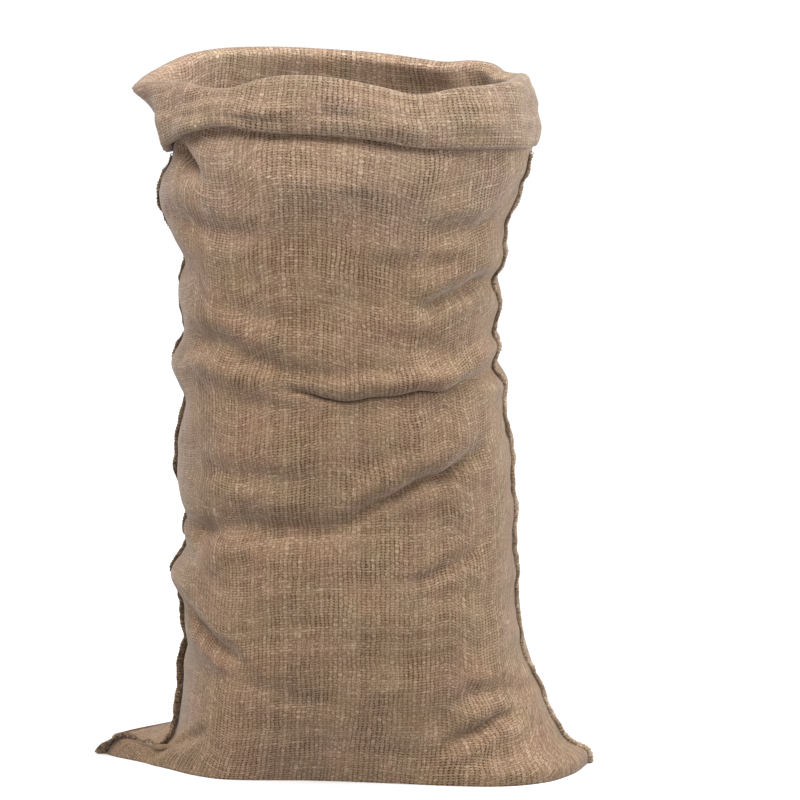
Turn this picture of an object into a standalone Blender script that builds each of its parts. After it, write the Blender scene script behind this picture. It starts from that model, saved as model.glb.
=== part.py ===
"""Hessian sack standing open on the floor, its mouth turned down into a cuff.

The sack is one length of cloth, folded across the middle to make the bottom and
sewn up both sides.  Standing and filled out, it has a flat base, two small ears
where the bottom corners stick out, walls with slack folds, and a mouth whose
edge is rolled outwards and turned under.

Pieces:
    sack_cloth   the one length of cloth, from the bottom fold to the hem
    seam_left    overlocked seam allowances down the left side
    seam_right   overlocked seam allowances down the right side

Frame: +Z up, the base on Z = 0, the front faces -Y, the ears lie along X.
Turn angles go round the sack seen from above: 0 is the front, 90 the right
side (+X), 180 the back and -90 the left side.
"""

import math

import bmesh
import bpy
from mathutils import Vector

MM = 0.001

COLLECTION = "hessian_sack"

# Cloth and sewing
CLOTH_THICKNESS = 2.0 * MM
LIP_HEIGHT = 7.0 * MM
LIP_WIDTH = 3.2 * MM
LIP_GAP = 0.4 * MM
LIP_START = 1
LIP_SWAY = 0.9 * MM
LIP_SWAY_TURNS = 17.0

# The lip's section: shares of its height and of its width
LIP_SECTION = ((0.0, -0.1), (0.0, 0.1), (0.45, 0.5), (1.0, 0.32), (1.0, -0.32), (0.45, -0.5))

# Mesh steps
PANEL_COLUMNS = 28
FLOOR_ROWS = 4
WALL_ROWS = 36
ROW_CROWDING = 1.2
PATH_STEP = 1.5 * MM
CUFF_STEPS = (0.2, 0.45, 0.7)

# The side seams on the body, as turn angles
LEFT_SEAM = -92.0
RIGHT_SEAM = 81.0

# How much of the side pleats is left away from the seams
PLEAT_FOCUS = 5.0
PLEAT_SPAN = 70.0 * MM

# Squareness of the body's plan: 2 is an ellipse
PLAN_POWER = 2.25

# Mouth: the roll at the rim and the hem under the cuff
RIM_RADIUS = 4.0 * MM
HEM_RADIUS = 1.8 * MM
HEM_DEPTH = 13.0 * MM
HEM_CLEARANCE = 3.0 * MM
CUFF_BELLY = 2.5 * MM
NECK_BELOW_CUFF = 6.0 * MM

# Body sections, in mm: how far each side of the cloth lies from the axis
SECTIONS = (
    # height, left, right, front, back
    (0, 176, 190, 170, 170),
    (60, 178, 190, 174, 172),
    (105, 175, 189, 177, 175),
    (131, 172, 189, 178, 176),
    (151, 176, 190, 179, 176),
    (174, 178, 190, 179, 177),
    (201, 193, 188, 178, 178),
    (222, 180, 188, 177, 179),
    (237, 173, 188, 176, 179),
    (259, 177, 187, 174, 178),
    (271, 172, 186, 172, 177),
    (292, 181, 187, 170, 175),
    (315, 185, 185, 174, 173),
    (337, 182, 183, 178, 174),
    (360, 181, 180, 180, 176),
    (380, 177, 176, 180, 178),
    (402, 174, 176, 178, 179),
    (418, 182, 175, 175, 179),
    (438, 189, 164, 178, 178),
    (462, 179, 169, 181, 176),
    (477, 175, 161, 181, 174),
    (508, 180, 169, 179, 173),
    (533, 177, 164, 178, 174),
    (553, 173, 174, 177, 176),
    (579, 187, 176, 175, 177),
    (597, 195, 176, 173, 177),
    (619, 201, 185, 174, 175),
    (638, 198, 193, 175, 172),
    (657, 188, 201, 173, 169),
    (674, 186, 203, 170, 167),
    (700, 188, 202, 168, 166),
)

# Edge of the base on the floor, in mm, along each panel from seam to seam
FRONT_BASE = (
    # share, x, y
    (0.00, -271, -26),
    (0.05, -254, -42),
    (0.11, -224, -62),
    (0.20, -188, -94),
    (0.28, -150, -127),
    (0.36, -112, -142),
    (0.50, -25, -138),
    (0.64, 62, -144),
    (0.76, 130, -151),
    (0.86, 190, -147),
    (0.93, 233, -121),
    (0.97, 258, -76),
    (1.00, 269, -26),
)
BACK_BASE = (
    # share, x, y
    (0.00, 269, -26),
    (0.07, 246, 30),
    (0.18, 190, 98),
    (0.34, 105, 138),
    (0.50, 2, 146),
    (0.66, -98, 137),
    (0.80, -163, 92),
    (0.90, -208, 40),
    (0.96, -247, 0),
    (1.00, -271, -26),
)

# How much of the base's outline is left at a height, in mm, by side
RISE = (
    # height, left, right, middle
    (0, 1.00, 1.00, 1.00),
    (8, 0.91, 0.98, 0.70),
    (15, 0.71, 0.91, 0.50),
    (21, 0.44, 0.82, 0.40),
    (27, 0.20, 0.73, 0.32),
    (38, 0.14, 0.61, 0.23),
    (58, 0.11, 0.47, 0.13),
    (90, 0.04, 0.30, 0.05),
    (120, 0.00, 0.15, 0.00),
    (165, 0.00, 0.00, 0.00),
)
EAR_SPREAD_LEFT = (0.55, 0.95)
EAR_SPREAD_RIGHT = (0.25, 0.90)

# The mouth round the sack: turn angles and mm
MOUTH = (
    # turn, rim_out, rim_height, cuff_out, cuff_height
    (-90, 43, 746, 9, 668),
    (-75, 23, 751, 10, 676),
    (-60, 9, 757, 10, 690),
    (-45, 4, 758, 10, 704),
    (-30, 4, 758, 11, 711),
    (-15, 5, 764, 10, 707),
    (0, 4, 766, 10, 706),
    (15, 3, 758, 10, 702),
    (25, 3, 750, 10, 697),
    (40, 3, 752, 10, 692),
    (60, 3, 753, 10, 688),
    (90, 2, 754, 9, 678),
    (120, 4, 749, 9, 684),
    (150, 6, 752, 9, 694),
    (180, 7, 762, 9, 700),
    (210, 8, 768, 9, 700),
    (240, 14, 767, 9, 690),
    (258, 30, 755, 9, 676),
)

# Slack folds: a curve through three points (turn, height in mm), then how deep
# and wide the fold is and how far its upper lip hangs over, in mm
FOLDS = (
    # turn_1, height_1, turn_2, height_2, turn_3, height_3, depth, width, overhang
    (-20, 432, 12, 421, 74, 458, 11, 11, 5),
    (-88, 424, -50, 441, -8, 431, 5, 12, 2),
    (-64, 494, -32, 479, -6, 452, 6, 17, 1),
    (68, 372, 24, 332, -6, 289, 10, 15, 3),
    (-66, 284, -30, 286, 8, 292, 8, 19, 2),
    (-60, 201, -43, 170, -26, 147, 7, 11, 2),
    (-55, 142, -26, 118, -4, 104, 5, 15, 0),
    (72, 282, 50, 266, 27, 240, 5, 14, 1),
    (68, 106, 53, 78, 33, 50, 10, 12, 3),
    (62, 124, 47, 113, 30, 102, 4, 12, 0),
    (36, 608, 52, 611, 72, 620, 6, 14, 1),
    (28, 536, 45, 548, 72, 565, 10, 12, 3),
    (8, 532, 22, 514, 55, 484, 5, 16, 0),
    (4, 581, 30, 577, 60, 585, 4, 15, 0),
    (-72, 624, -49, 611, -18, 597, 6, 18, 1),
    (-66, 690, -55, 680, -42, 663, 9, 11, 0),
    (110, 452, 150, 436, 200, 449, 9, 13, 3),
    (190, 352, 222, 330, 262, 309, 8, 16, 2),
    (100, 330, 128, 306, 165, 300, 8, 15, 2),
    (150, 228, 190, 214, 240, 236, 7, 17, 2),
    (108, 176, 135, 148, 160, 128, 7, 13, 1),
    (205, 128, 225, 102, 246, 80, 7, 14, 1),
    (120, 560, 160, 574, 205, 552, 7, 16, 1),
    (205, 512, 235, 496, 265, 477, 6, 14, 1),
    (140, 652, 175, 640, 215, 650, 5, 16, 0),
)
FOLD_SHOULDER = 0.35
FOLD_SHOULDER_SIDE = 1.7
FOLD_LIP_SIDE = 0.8
FOLD_END = 0.16
FOLD_FULL = 0.32

# Principled finishes: base colour and roughness
FINISHES = {
    "hessian": ((0.27, 0.19, 0.12), 0.95),
    "overlock": ((0.20, 0.14, 0.09), 0.95),
}


def at_height(table, column, value):
    """Read one column of a table at a value of its first column, smoothly."""
    rows = len(table)
    if value <= table[0][0]:
        return table[0][column]
    if value >= table[-1][0]:
        return table[-1][column]
    low = max(i for i in range(rows) if table[i][0] <= value)
    knots = [table[min(max(low + k, 0), rows - 1)] for k in (-1, 0, 1, 2)]
    span = knots[2][0] - knots[1][0]
    share = (value - knots[1][0]) / span

    def slope(before, after):
        run = after[0] - before[0]
        return (after[column] - before[column]) / run * span if run else 0.0

    start, end = slope(knots[0], knots[2]), slope(knots[1], knots[3])
    square, cube = share * share, share * share * share
    return (
        knots[1][column] * (2 * cube - 3 * square + 1)
        + start * (cube - 2 * square + share)
        + knots[2][column] * (3 * square - 2 * cube)
        + end * (cube - square)
    )


def round_the_mouth(column, turn):
    """Read one column of MOUTH at a turn angle, smoothly all the way round."""
    first = MOUTH[0][0]
    wrapped = (turn - first) % 360.0 + first
    before = tuple((row[0] - 360.0, *row[1:]) for row in MOUTH[-2:])
    after = tuple((row[0] + 360.0, *row[1:]) for row in MOUTH[:2])
    return at_height(before + MOUTH + after, column, wrapped) * MM


def ease(low, high, value):
    """Smooth step from 0 at low to 1 at high."""
    share = min(max((value - low) / (high - low), 0.0), 1.0)
    return share * share * (3.0 - 2.0 * share)


def section(column, height):
    """Reach of one side of the body at a height."""
    return at_height(SECTIONS, column, height / MM) * MM


def calm_section(column, height):
    """The same reach, averaged over the pleats above and below."""
    steps = (-1.0, -0.5, 0.0, 0.5, 1.0)
    return sum(section(column, height + step * PLEAT_SPAN) for step in steps) / len(steps)


def body_plan(turn, height):
    """Point of the body's plan, without the folds."""
    angle = math.radians(turn)
    across, along = math.sin(angle), -math.cos(angle)
    side = 1 if across < 0 else 2
    calm = calm_section(side, height)
    pleated = section(side, height)
    reach_x = calm + (pleated - calm) * abs(across) ** PLEAT_FOCUS
    reach_y = section(3 if along < 0 else 4, height)
    power = 2.0 / PLAN_POWER
    x = math.copysign(abs(across) ** power, across) * reach_x
    y = math.copysign(abs(along) ** power, along) * reach_y
    return Vector((x, y, height))


def outward(turn, height):
    """Level direction that points out of the body's plan."""
    step = 1.0
    along = body_plan(turn + step, height) - body_plan(turn - step, height)
    return Vector((-along.y, along.x, 0.0)).normalized() * -1.0


def fold_shift(turn, height):
    """How far the folds push the cloth out, and how far down, at one place."""
    out, down = 0.0, 0.0
    level = height / MM
    for turn_1, height_1, turn_2, height_2, turn_3, height_3, depth, width, overhang in FOLDS:
        place = (turn - turn_2 + 180.0) % 360.0 - 180.0 + turn_2
        share = (place - turn_1) / (turn_3 - turn_1)
        if not -FOLD_END < share < 1.0 + FOLD_END:
            continue
        middle = (turn_2 - turn_1) / (turn_3 - turn_1)
        line = (
            height_1 * (share - middle) * (share - 1.0) / middle
            + height_2 * share * (share - 1.0) / (middle * (middle - 1.0))
            + height_3 * share * (share - middle) / (1.0 - middle)
        )
        fade = ease(-FOLD_END, FOLD_FULL, share) * ease(-FOLD_END, FOLD_FULL, 1.0 - share)
        across = (level - line) / width
        trough = math.exp(-across * across)
        upper = math.exp(-((across - FOLD_SHOULDER_SIDE) ** 2))
        lower = math.exp(-((across + FOLD_SHOULDER_SIDE) ** 2))
        out += fade * depth * (FOLD_SHOULDER * (upper + lower) - trough)
        down += fade * overhang * math.exp(-((across - FOLD_LIP_SIDE) ** 2))
    return out * MM, down * MM


def panel_turn(back, share):
    """Turn angle of a panel's column: 0 at its first seam, 1 at its second."""
    if back:
        return RIGHT_SEAM + (LEFT_SEAM + 360.0 - RIGHT_SEAM) * share
    return LEFT_SEAM + (RIGHT_SEAM - LEFT_SEAM) * share


def base_edge(back, share):
    """Point where a column leaves the floor."""
    table = BACK_BASE if back else FRONT_BASE
    return Vector((at_height(table, 1, share) * MM, at_height(table, 2, share) * MM, 0.0))


def bottom_fold(back, share):
    """Point of the straight fold across the bottom, from ear to ear."""
    left, right = base_edge(False, 0.0), base_edge(False, 1.0)
    return left.lerp(right, 1.0 - share if back else share)


def base_share(turn, height):
    """How much the wall still follows the base's outline at a height."""
    level = height / MM
    across = math.sin(math.radians(turn))
    share = at_height(RISE, 3, level)
    if across < 0:
        side, near = at_height(RISE, 1, level), ease(*EAR_SPREAD_LEFT, -across)
    else:
        side, near = at_height(RISE, 2, level), ease(*EAR_SPREAD_RIGHT, across)
    return share + (side - share) * near


def wall_point(back, share, height):
    """Point of the cloth's face on the wall, folds included."""
    turn = panel_turn(back, share)
    plan = body_plan(turn, height)
    kept = base_share(turn, height)
    edge = base_edge(back, share)
    edge.z = height
    out, down = fold_shift(turn, height)
    point = plan.lerp(edge, kept) + outward(turn, height) * out
    point.z = max(0.0, height - down)
    return point


def spread_along(path, count):
    """Pick count + 1 points along a path, a little closer together at its start."""
    reach = [0.0]
    for before, after in zip(path, path[1:]):
        reach.append(reach[-1] + (after - before).length)
    points, piece = [], 0
    for step in range(count + 1):
        goal = reach[-1] * (step / count) ** ROW_CROWDING
        while piece < len(path) - 2 and reach[piece + 1] < goal:
            piece += 1
        span = reach[piece + 1] - reach[piece]
        share = (goal - reach[piece]) / span if span else 0.0
        points.append(path[piece].lerp(path[piece + 1], min(max(share, 0.0), 1.0)))
    return points


def floor_rows(back, share):
    """A column along the floor, from the bottom fold to just short of the base's edge."""
    fold, edge = bottom_fold(back, share), base_edge(back, share)
    return [fold.lerp(edge, step / FLOOR_ROWS) for step in range(FLOOR_ROWS)]


def wall_rows(back, share):
    """The same column from the base's edge up the wall to the neck."""
    top = round_the_mouth(4, panel_turn(back, share)) - NECK_BELOW_CUFF
    steps = math.ceil(top / PATH_STEP)
    path = [wall_point(back, share, top * step / steps) for step in range(steps + 1)]
    return spread_along(path, WALL_ROWS)


def mouth_rows(back, share):
    """The same column on up the neck, over the rim, down the cuff and under its hem."""
    turn = panel_turn(back, share)
    rim_out, rim_top = round_the_mouth(1, turn), round_the_mouth(2, turn)
    cuff_out, cuff_bottom = round_the_mouth(3, turn), round_the_mouth(4, turn)
    neck_height = cuff_bottom - NECK_BELOW_CUFF
    neck = wall_point(back, share, neck_height)
    away = outward(turn, neck_height)
    crown = rim_top - CLOTH_THICKNESS
    cuff_top = (rim_out, crown - RIM_RADIUS)
    cuff_foot = (cuff_out, cuff_bottom + CLOTH_THICKNESS + HEM_RADIUS)
    inner = rim_out - 2 * RIM_RADIUS
    places = [
        (0.0, cuff_bottom + HEM_DEPTH + HEM_CLEARANCE),
        (inner, crown - RIM_RADIUS),
        (rim_out - RIM_RADIUS, crown),
        cuff_top,
    ]
    for step in CUFF_STEPS:
        belly = CUFF_BELLY * math.sin(math.pi * step)
        places.append(
            (
                cuff_top[0] + (cuff_foot[0] - cuff_top[0]) * step + belly,
                cuff_top[1] + (cuff_foot[1] - cuff_top[1]) * step,
            )
        )
    places.append(cuff_foot)
    places.append((cuff_out - HEM_RADIUS, cuff_bottom + CLOTH_THICKNESS))
    places.append((cuff_out - 2 * HEM_RADIUS, cuff_bottom + CLOTH_THICKNESS + HEM_RADIUS))
    places.append((cuff_out - 2 * HEM_RADIUS, cuff_bottom + HEM_DEPTH))
    base = Vector((neck.x, neck.y, 0.0))
    return [base + away * out + Vector((0.0, 0.0, height)) for out, height in places]


def seam_column(bm, share):
    """The rows of a column on a seam, where the floor's rows meet in the ear's tip."""
    points = wall_rows(False, share) + mouth_rows(False, share)
    verts = [bm.verts.new(point) for point in points]
    return [verts[0]] * FLOOR_ROWS + verts


def open_column(bm, back, share, fold):
    """The rows of a column between the seams, from its point on the bottom fold."""
    points = floor_rows(back, share)[1:] + wall_rows(back, share) + mouth_rows(back, share)
    return [fold] + [bm.verts.new(point) for point in points]


def finish(name):
    """A plain material for one piece."""
    colour, roughness = FINISHES[name]
    material = bpy.data.materials.new(name)
    material.use_nodes = True
    shader = material.node_tree.nodes["Principled BSDF"]
    shader.inputs["Base Color"].default_value = (*colour, 1.0)
    shader.inputs["Roughness"].default_value = roughness
    shader.inputs["Metallic"].default_value = 0.0
    return material


def add_object(name, bm, material, collection):
    """Make an object of a bmesh and link it."""
    mesh = bpy.data.meshes.new(name)
    bm.to_mesh(mesh)
    bm.free()
    mesh.materials.append(material)
    piece = bpy.data.objects.new(name, mesh)
    collection.objects.link(piece)
    return piece


def build_cloth(collection):
    """The cloth: two panels that share the bottom fold and both seams.

    Returns the routes of both seams, as points of the cloth with its outward direction.
    """
    bm = bmesh.new()
    left_seam, right_seam = seam_column(bm, 0.0), seam_column(bm, 1.0)
    between = [step / PANEL_COLUMNS for step in range(1, PANEL_COLUMNS)]
    folds = [bm.verts.new(bottom_fold(False, share)) for share in between]
    front = [open_column(bm, False, share, fold) for share, fold in zip(between, folds)]
    back = [open_column(bm, True, share, fold) for share, fold in zip(between, reversed(folds))]
    for panel in ([left_seam, *front, right_seam], [right_seam, *back, left_seam]):
        for near, far in zip(panel, panel[1:]):
            for row in range(len(near) - 1):
                corners = [near[row], far[row], far[row + 1], near[row + 1]]
                bm.faces.new(dict.fromkeys(corners))
    bm.normal_update()
    seams = []
    for seam in (left_seam, right_seam):
        wall = seam[FLOOR_ROWS : FLOOR_ROWS + WALL_ROWS + 1]
        seams.append([(vert.co.copy(), vert.normal.copy()) for vert in wall])
    piece = add_object("sack_cloth", bm, finish("hessian"), collection)
    shell = piece.modifiers.new("cloth thickness", "SOLIDIFY")
    shell.thickness = CLOTH_THICKNESS
    shell.offset = -1.0
    piece.data.shade_smooth()
    return seams


def build_seam(name, route, collection):
    """The seam allowances of one side: a low lip that stands on the cloth along its seam."""
    bm = bmesh.new()
    rings = []
    route = route[LIP_START:]
    for row, (point, out) in enumerate(route):
        before, after = route[max(row - 1, 0)][0], route[min(row + 1, len(route) - 1)][0]
        across = (after - before).normalized().cross(out).normalized()
        sway = across * LIP_SWAY * math.sin(LIP_SWAY_TURNS * row / len(route) * math.tau)
        ring = []
        for height, half in LIP_SECTION:
            centre = point + out * (LIP_GAP + height * LIP_HEIGHT) + sway * height
            ring.append(bm.verts.new(centre + across * half * LIP_WIDTH))
        rings.append(ring)
    sides = len(LIP_SECTION)
    for low, high in zip(rings, rings[1:]):
        for corner in range(sides):
            following = (corner + 1) % sides
            bm.faces.new((low[corner], low[following], high[following], high[corner]))
    bm.faces.new(rings[0])
    bm.faces.new(rings[-1])
    bmesh.ops.recalc_face_normals(bm, faces=bm.faces[:])
    return add_object(name, bm, finish("overlock"), collection)


def main():
    """Empty the scene and build the sack."""
    for stale in list(bpy.data.objects):
        bpy.data.objects.remove(stale)
    collection = bpy.data.collections.new(COLLECTION)
    bpy.context.scene.collection.children.link(collection)
    left_route, right_route = build_cloth(collection)
    build_seam("seam_left", left_route, collection)
    build_seam("seam_right", right_route, collection)


main()
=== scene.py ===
"""Dressed model of an open hessian sack that stands on its flat, folded bottom.

One length of woven jute is folded across the middle to make the bottom, sewn up
both sides with an overlocked edge, and turned outwards and down at the mouth into
a cuff with its hem tucked under.  Standing and filled out, it has slack folds
across its walls and its two bottom corners stick out as ears.

Frame: +Z up, the bottom on Z = 0, the front faces -Y, the ears lie along X.  Forms
are worked out in millimetres and turned to metres when they become meshes.
Turn angles go round the sack seen from above, in degrees: 0 is the front, 90 the
right side (+X), 180 the back and -90 the left side.
"""

from __future__ import annotations

import logging
import math
from collections.abc import Iterable, Sequence
from dataclasses import dataclass, field
from enum import Enum

import bpy
import numpy as np
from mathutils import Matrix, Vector

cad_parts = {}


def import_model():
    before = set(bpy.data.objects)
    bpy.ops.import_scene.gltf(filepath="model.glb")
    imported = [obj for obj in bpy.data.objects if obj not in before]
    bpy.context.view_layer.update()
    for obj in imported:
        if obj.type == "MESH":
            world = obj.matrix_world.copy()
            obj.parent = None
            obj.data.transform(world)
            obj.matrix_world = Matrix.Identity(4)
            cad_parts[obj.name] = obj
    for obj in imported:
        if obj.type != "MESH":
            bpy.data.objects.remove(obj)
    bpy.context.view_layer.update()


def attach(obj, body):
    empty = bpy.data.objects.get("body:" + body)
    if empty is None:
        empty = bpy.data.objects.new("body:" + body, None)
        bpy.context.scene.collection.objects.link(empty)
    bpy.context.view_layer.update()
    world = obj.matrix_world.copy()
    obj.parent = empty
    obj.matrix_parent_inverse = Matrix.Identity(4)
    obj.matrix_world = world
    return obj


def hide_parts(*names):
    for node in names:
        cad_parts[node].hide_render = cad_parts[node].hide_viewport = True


Array = np.ndarray
Colour = tuple[float, float, float, float]
Tint = tuple[float, float, float]
Source = bpy.types.Node | bpy.types.NodeSocket

LOG = logging.getLogger("hessian_sack")
MM = 0.001


class Finish(Enum):
    """Names of the sack's two finishes."""

    HESSIAN = "hessian"
    OVERLOCK = "overlock"


class Panel(Enum):
    """The two faces of the folded length of cloth, from seam to seam."""

    FRONT = "front"
    BACK = "back"


# ---------------------------------------------------------------------------
# Tables and small tools
# ---------------------------------------------------------------------------


def linear(hex_colour: str) -> Colour:
    """Turn an sRGB hex colour to linear.

    Args:
        hex_colour: Six hex digits, with or without a leading #.

    Returns:
        Red, green, blue and an alpha of 1.
    """
    digits = hex_colour.lstrip("#")
    shares = [int(digits[place : place + 2], 16) / 255 for place in (0, 2, 4)]
    red, green, blue = (
        share / 12.92 if share <= 0.04045 else ((share + 0.055) / 1.055) ** 2.4
        for share in shares
    )
    return red, green, blue, 1.0


def ease(low: float, high: float, value: Array) -> Array:
    """Smooth step from 0 at low to 1 at high."""
    share = np.clip((value - low) / (high - low), 0.0, 1.0)
    return share * share * (3.0 - 2.0 * share)


@dataclass(frozen=True)
class SmoothTable:
    """Rows of numbers that are read smoothly between the rows.

    Attributes:
        rows: The table; the first number of a row is where it stands.
        period: The length after which the table repeats, or 0 if it does not.
    """

    rows: tuple[tuple[float, ...], ...]
    period: float = 0.0

    def read(self, column: int, at: Array) -> Array:
        """Read one column.

        Args:
            column: Which number of each row.
            at: Where to read it.

        Returns:
            The column's value at each place.
        """
        rows = list(self.rows)
        if self.period:
            rows = (
                [(row[0] - self.period, *row[1:]) for row in rows[-2:]]
                + rows
                + [(row[0] + self.period, *row[1:]) for row in rows[:2]]
            )
            at = (at - self.rows[0][0]) % self.period + self.rows[0][0]
        keys = np.array([row[0] for row in rows], float)
        values = np.array([row[column] for row in rows], float)
        slopes = np.empty_like(values)
        slopes[1:-1] = (values[2:] - values[:-2]) / (keys[2:] - keys[:-2])
        slopes[0] = (values[1] - values[0]) / (keys[1] - keys[0])
        slopes[-1] = (values[-1] - values[-2]) / (keys[-1] - keys[-2])
        place = np.clip(at, keys[0], keys[-1])
        low = np.clip(np.searchsorted(keys, place, side="right") - 1, 0, len(keys) - 2)
        span = keys[low + 1] - keys[low]
        share = (place - keys[low]) / span
        square, cube = share**2, share**3
        return (
            values[low] * (2 * cube - 3 * square + 1)
            + slopes[low] * span * (cube - 2 * square + share)
            + values[low + 1] * (3 * square - 2 * cube)
            + slopes[low + 1] * span * (cube - square)
        )


def arc(
    out: Array, height: Array, radius: float, angles: Iterable[float]
) -> list[tuple[Array, Array]]:
    """Places on an arc.

    Args:
        out: How far out its middle lies, in mm.
        height: Height of its middle in mm.
        radius: Its radius in mm.
        angles: The places' angles in degrees, from 0 straight out to 90 straight up.

    Returns:
        How far out and how high each place lies.
    """
    turns = [math.radians(angle) for angle in angles]
    return [(out + radius * math.cos(turn), height + radius * math.sin(turn)) for turn in turns]


def spread(path: Array, shares: Array) -> Array:
    """Pick points along paths by their share of each path's length.

    Args:
        path: Points, shaped (paths, points, 3).
        shares: Where the picked points lie, from 0 to 1.

    Returns:
        The picked points, shaped (paths, shares, 3).
    """
    lengths = np.linalg.norm(np.diff(path, axis=1), axis=2)
    reach = np.concatenate([np.zeros((len(path), 1)), np.cumsum(lengths, axis=1)], axis=1)
    picked = np.empty((len(path), len(shares), path.shape[2]))
    for index, (line, run) in enumerate(zip(path, reach)):
        for axis in range(path.shape[2]):
            picked[index, :, axis] = np.interp(shares * run[-1], run, line[:, axis])
    return picked


def rounded(points: Array, steps: int) -> Array:
    """Run a smooth curve through points.

    Args:
        points: Points, shaped (curves, points, axes).
        steps: How many steps lie between two points.

    Returns:
        The curves' points, the given ones among them.
    """
    padded = np.concatenate([points[:, :1], points, points[:, -1:]], axis=1)
    before, start, end, after = (padded[:, k : padded.shape[1] - 3 + k] for k in range(4))
    pieces = []
    for step in range(steps):
        share = step / steps
        pieces.append(
            0.5
            * (
                2 * start
                + (end - before) * share
                + (2 * before - 5 * start + 4 * end - after) * share**2
                + (3 * start - before - 3 * end + after) * share**3
            )
        )
    curve = np.stack(pieces, axis=2).reshape(len(points), -1, points.shape[2])
    return np.concatenate([curve, points[:, -1:]], axis=1)


def mesh_object(name: str, verts: Array, faces: Sequence[Sequence[int]]) -> bpy.types.Object:
    """Make a smooth mesh object of points in millimetres and faces.

    Args:
        name: The object's name.
        verts: Points in millimetres, shaped (points, 3).
        faces: Indices of each face's corners.

    Returns:
        The object, linked to the scene.
    """
    mesh = bpy.data.meshes.new(name)
    mesh.from_pydata((verts * MM).tolist(), [], faces)
    mesh.shade_smooth()
    mesh.validate()
    piece = bpy.data.objects.new(name, mesh)
    bpy.context.scene.collection.objects.link(piece)
    return piece


# ---------------------------------------------------------------------------
# Form of the standing sack
# ---------------------------------------------------------------------------


@dataclass(frozen=True)
class Fold:
    """A slack fold: a trough along a curve through three points, with soft ridges.

    Attributes:
        turns: Turn angles of the curve's three points.
        heights: Heights in mm of the side in shade, or of a ridge's lit side.
        depth: Depth of the trough in mm; below 0 it is a ridge.
        width: Half width of the trough in mm.
        overhang: How far the upper ridge hangs down over the trough, in mm.
        upper: Height of the ridge above the trough, as a share of depth.
        lower: Height of the ridge below it, as a share of depth.
    """

    turns: tuple[float, float, float]
    heights: tuple[float, float, float]
    depth: float
    width: float
    overhang: float = 0.0
    upper: float = 0.35
    lower: float = 0.35

    # Waver of the fold's line: its height in mm and its waves in one turn round the
    # sack, and the share and rate of the finer waver that is added to it
    WAVER = 2.4
    WAVER_RATE = 8.3
    FINE_SHARE = 0.6
    FINE_RATE = 2.3
    # Places across the fold in half widths: its side in shade, its ridges and its lip
    SHADE_SIDE = 0.75
    RIDGE_SIDE = 1.7
    LIP_SIDE = 0.8
    # Shares of its length: how far past an end it has died out, and how far short of
    # the end it has its full depth
    END = 0.16
    FULL = 0.32

    def shift(self, turn: Array, height: Array) -> tuple[Array, Array]:
        """Push of the fold on the cloth.

        Args:
            turn: Turn angles in degrees.
            height: Heights in mm.

        Returns:
            How far the cloth moves out, and how far down, in mm.
        """
        first, second, third = self.turns
        place = (turn - second + 180.0) % 360.0 - 180.0 + second
        share = (place - first) / (third - first)
        middle = (second - first) / (third - first)
        line = (
            self.heights[0] * (share - middle) * (share - 1.0) / middle
            + self.heights[1] * share * (share - 1.0) / (middle * (middle - 1.0))
            + self.heights[2] * share * (share - middle) / (1.0 - middle)
        )
        wave = np.radians(place * self.WAVER_RATE) + self.heights[0]
        fine = self.FINE_SHARE * np.sin(wave * self.FINE_RATE)
        line = line + self.WAVER * (np.sin(wave) + fine)
        line = line + self.overhang - self.SHADE_SIDE * self.width
        fade = ease(-self.END, self.FULL, share) * ease(-self.END, self.FULL, 1.0 - share)
        across = (height - line) / self.width
        trough = np.exp(-(across**2))
        above = self.upper * np.exp(-((across - self.RIDGE_SIDE) ** 2))
        below = self.lower * np.exp(-((across + self.RIDGE_SIDE) ** 2))
        out = fade * self.depth * (above + below - trough)
        down = fade * self.overhang * np.exp(-((across - self.LIP_SIDE) ** 2))
        return out, down


@dataclass(frozen=True)
class Dent:
    """A round hollow, or with a depth below 0 a bulge.

    Attributes:
        turn: Turn angle of its middle.
        height: Height of its middle in mm.
        depth: Depth in mm.
        across: Half width along the turn, in degrees.
        tall: Half height in mm.
        lean: How far the hollow climbs over one half width, in mm.
    """

    turn: float
    height: float
    depth: float
    across: float
    tall: float
    lean: float = 0.0

    def shift(self, turn: Array, height: Array) -> Array:
        """How far the dent moves the cloth out, in mm.

        Args:
            turn: Turn angles in degrees.
            height: Heights in mm.

        Returns:
            The push at each place.
        """
        side = ((turn - self.turn + 180.0) % 360.0 - 180.0) / self.across
        rise = (height - self.height - self.lean * side) / self.tall
        return -self.depth * np.exp(-(side**2) - rise**2)


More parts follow.
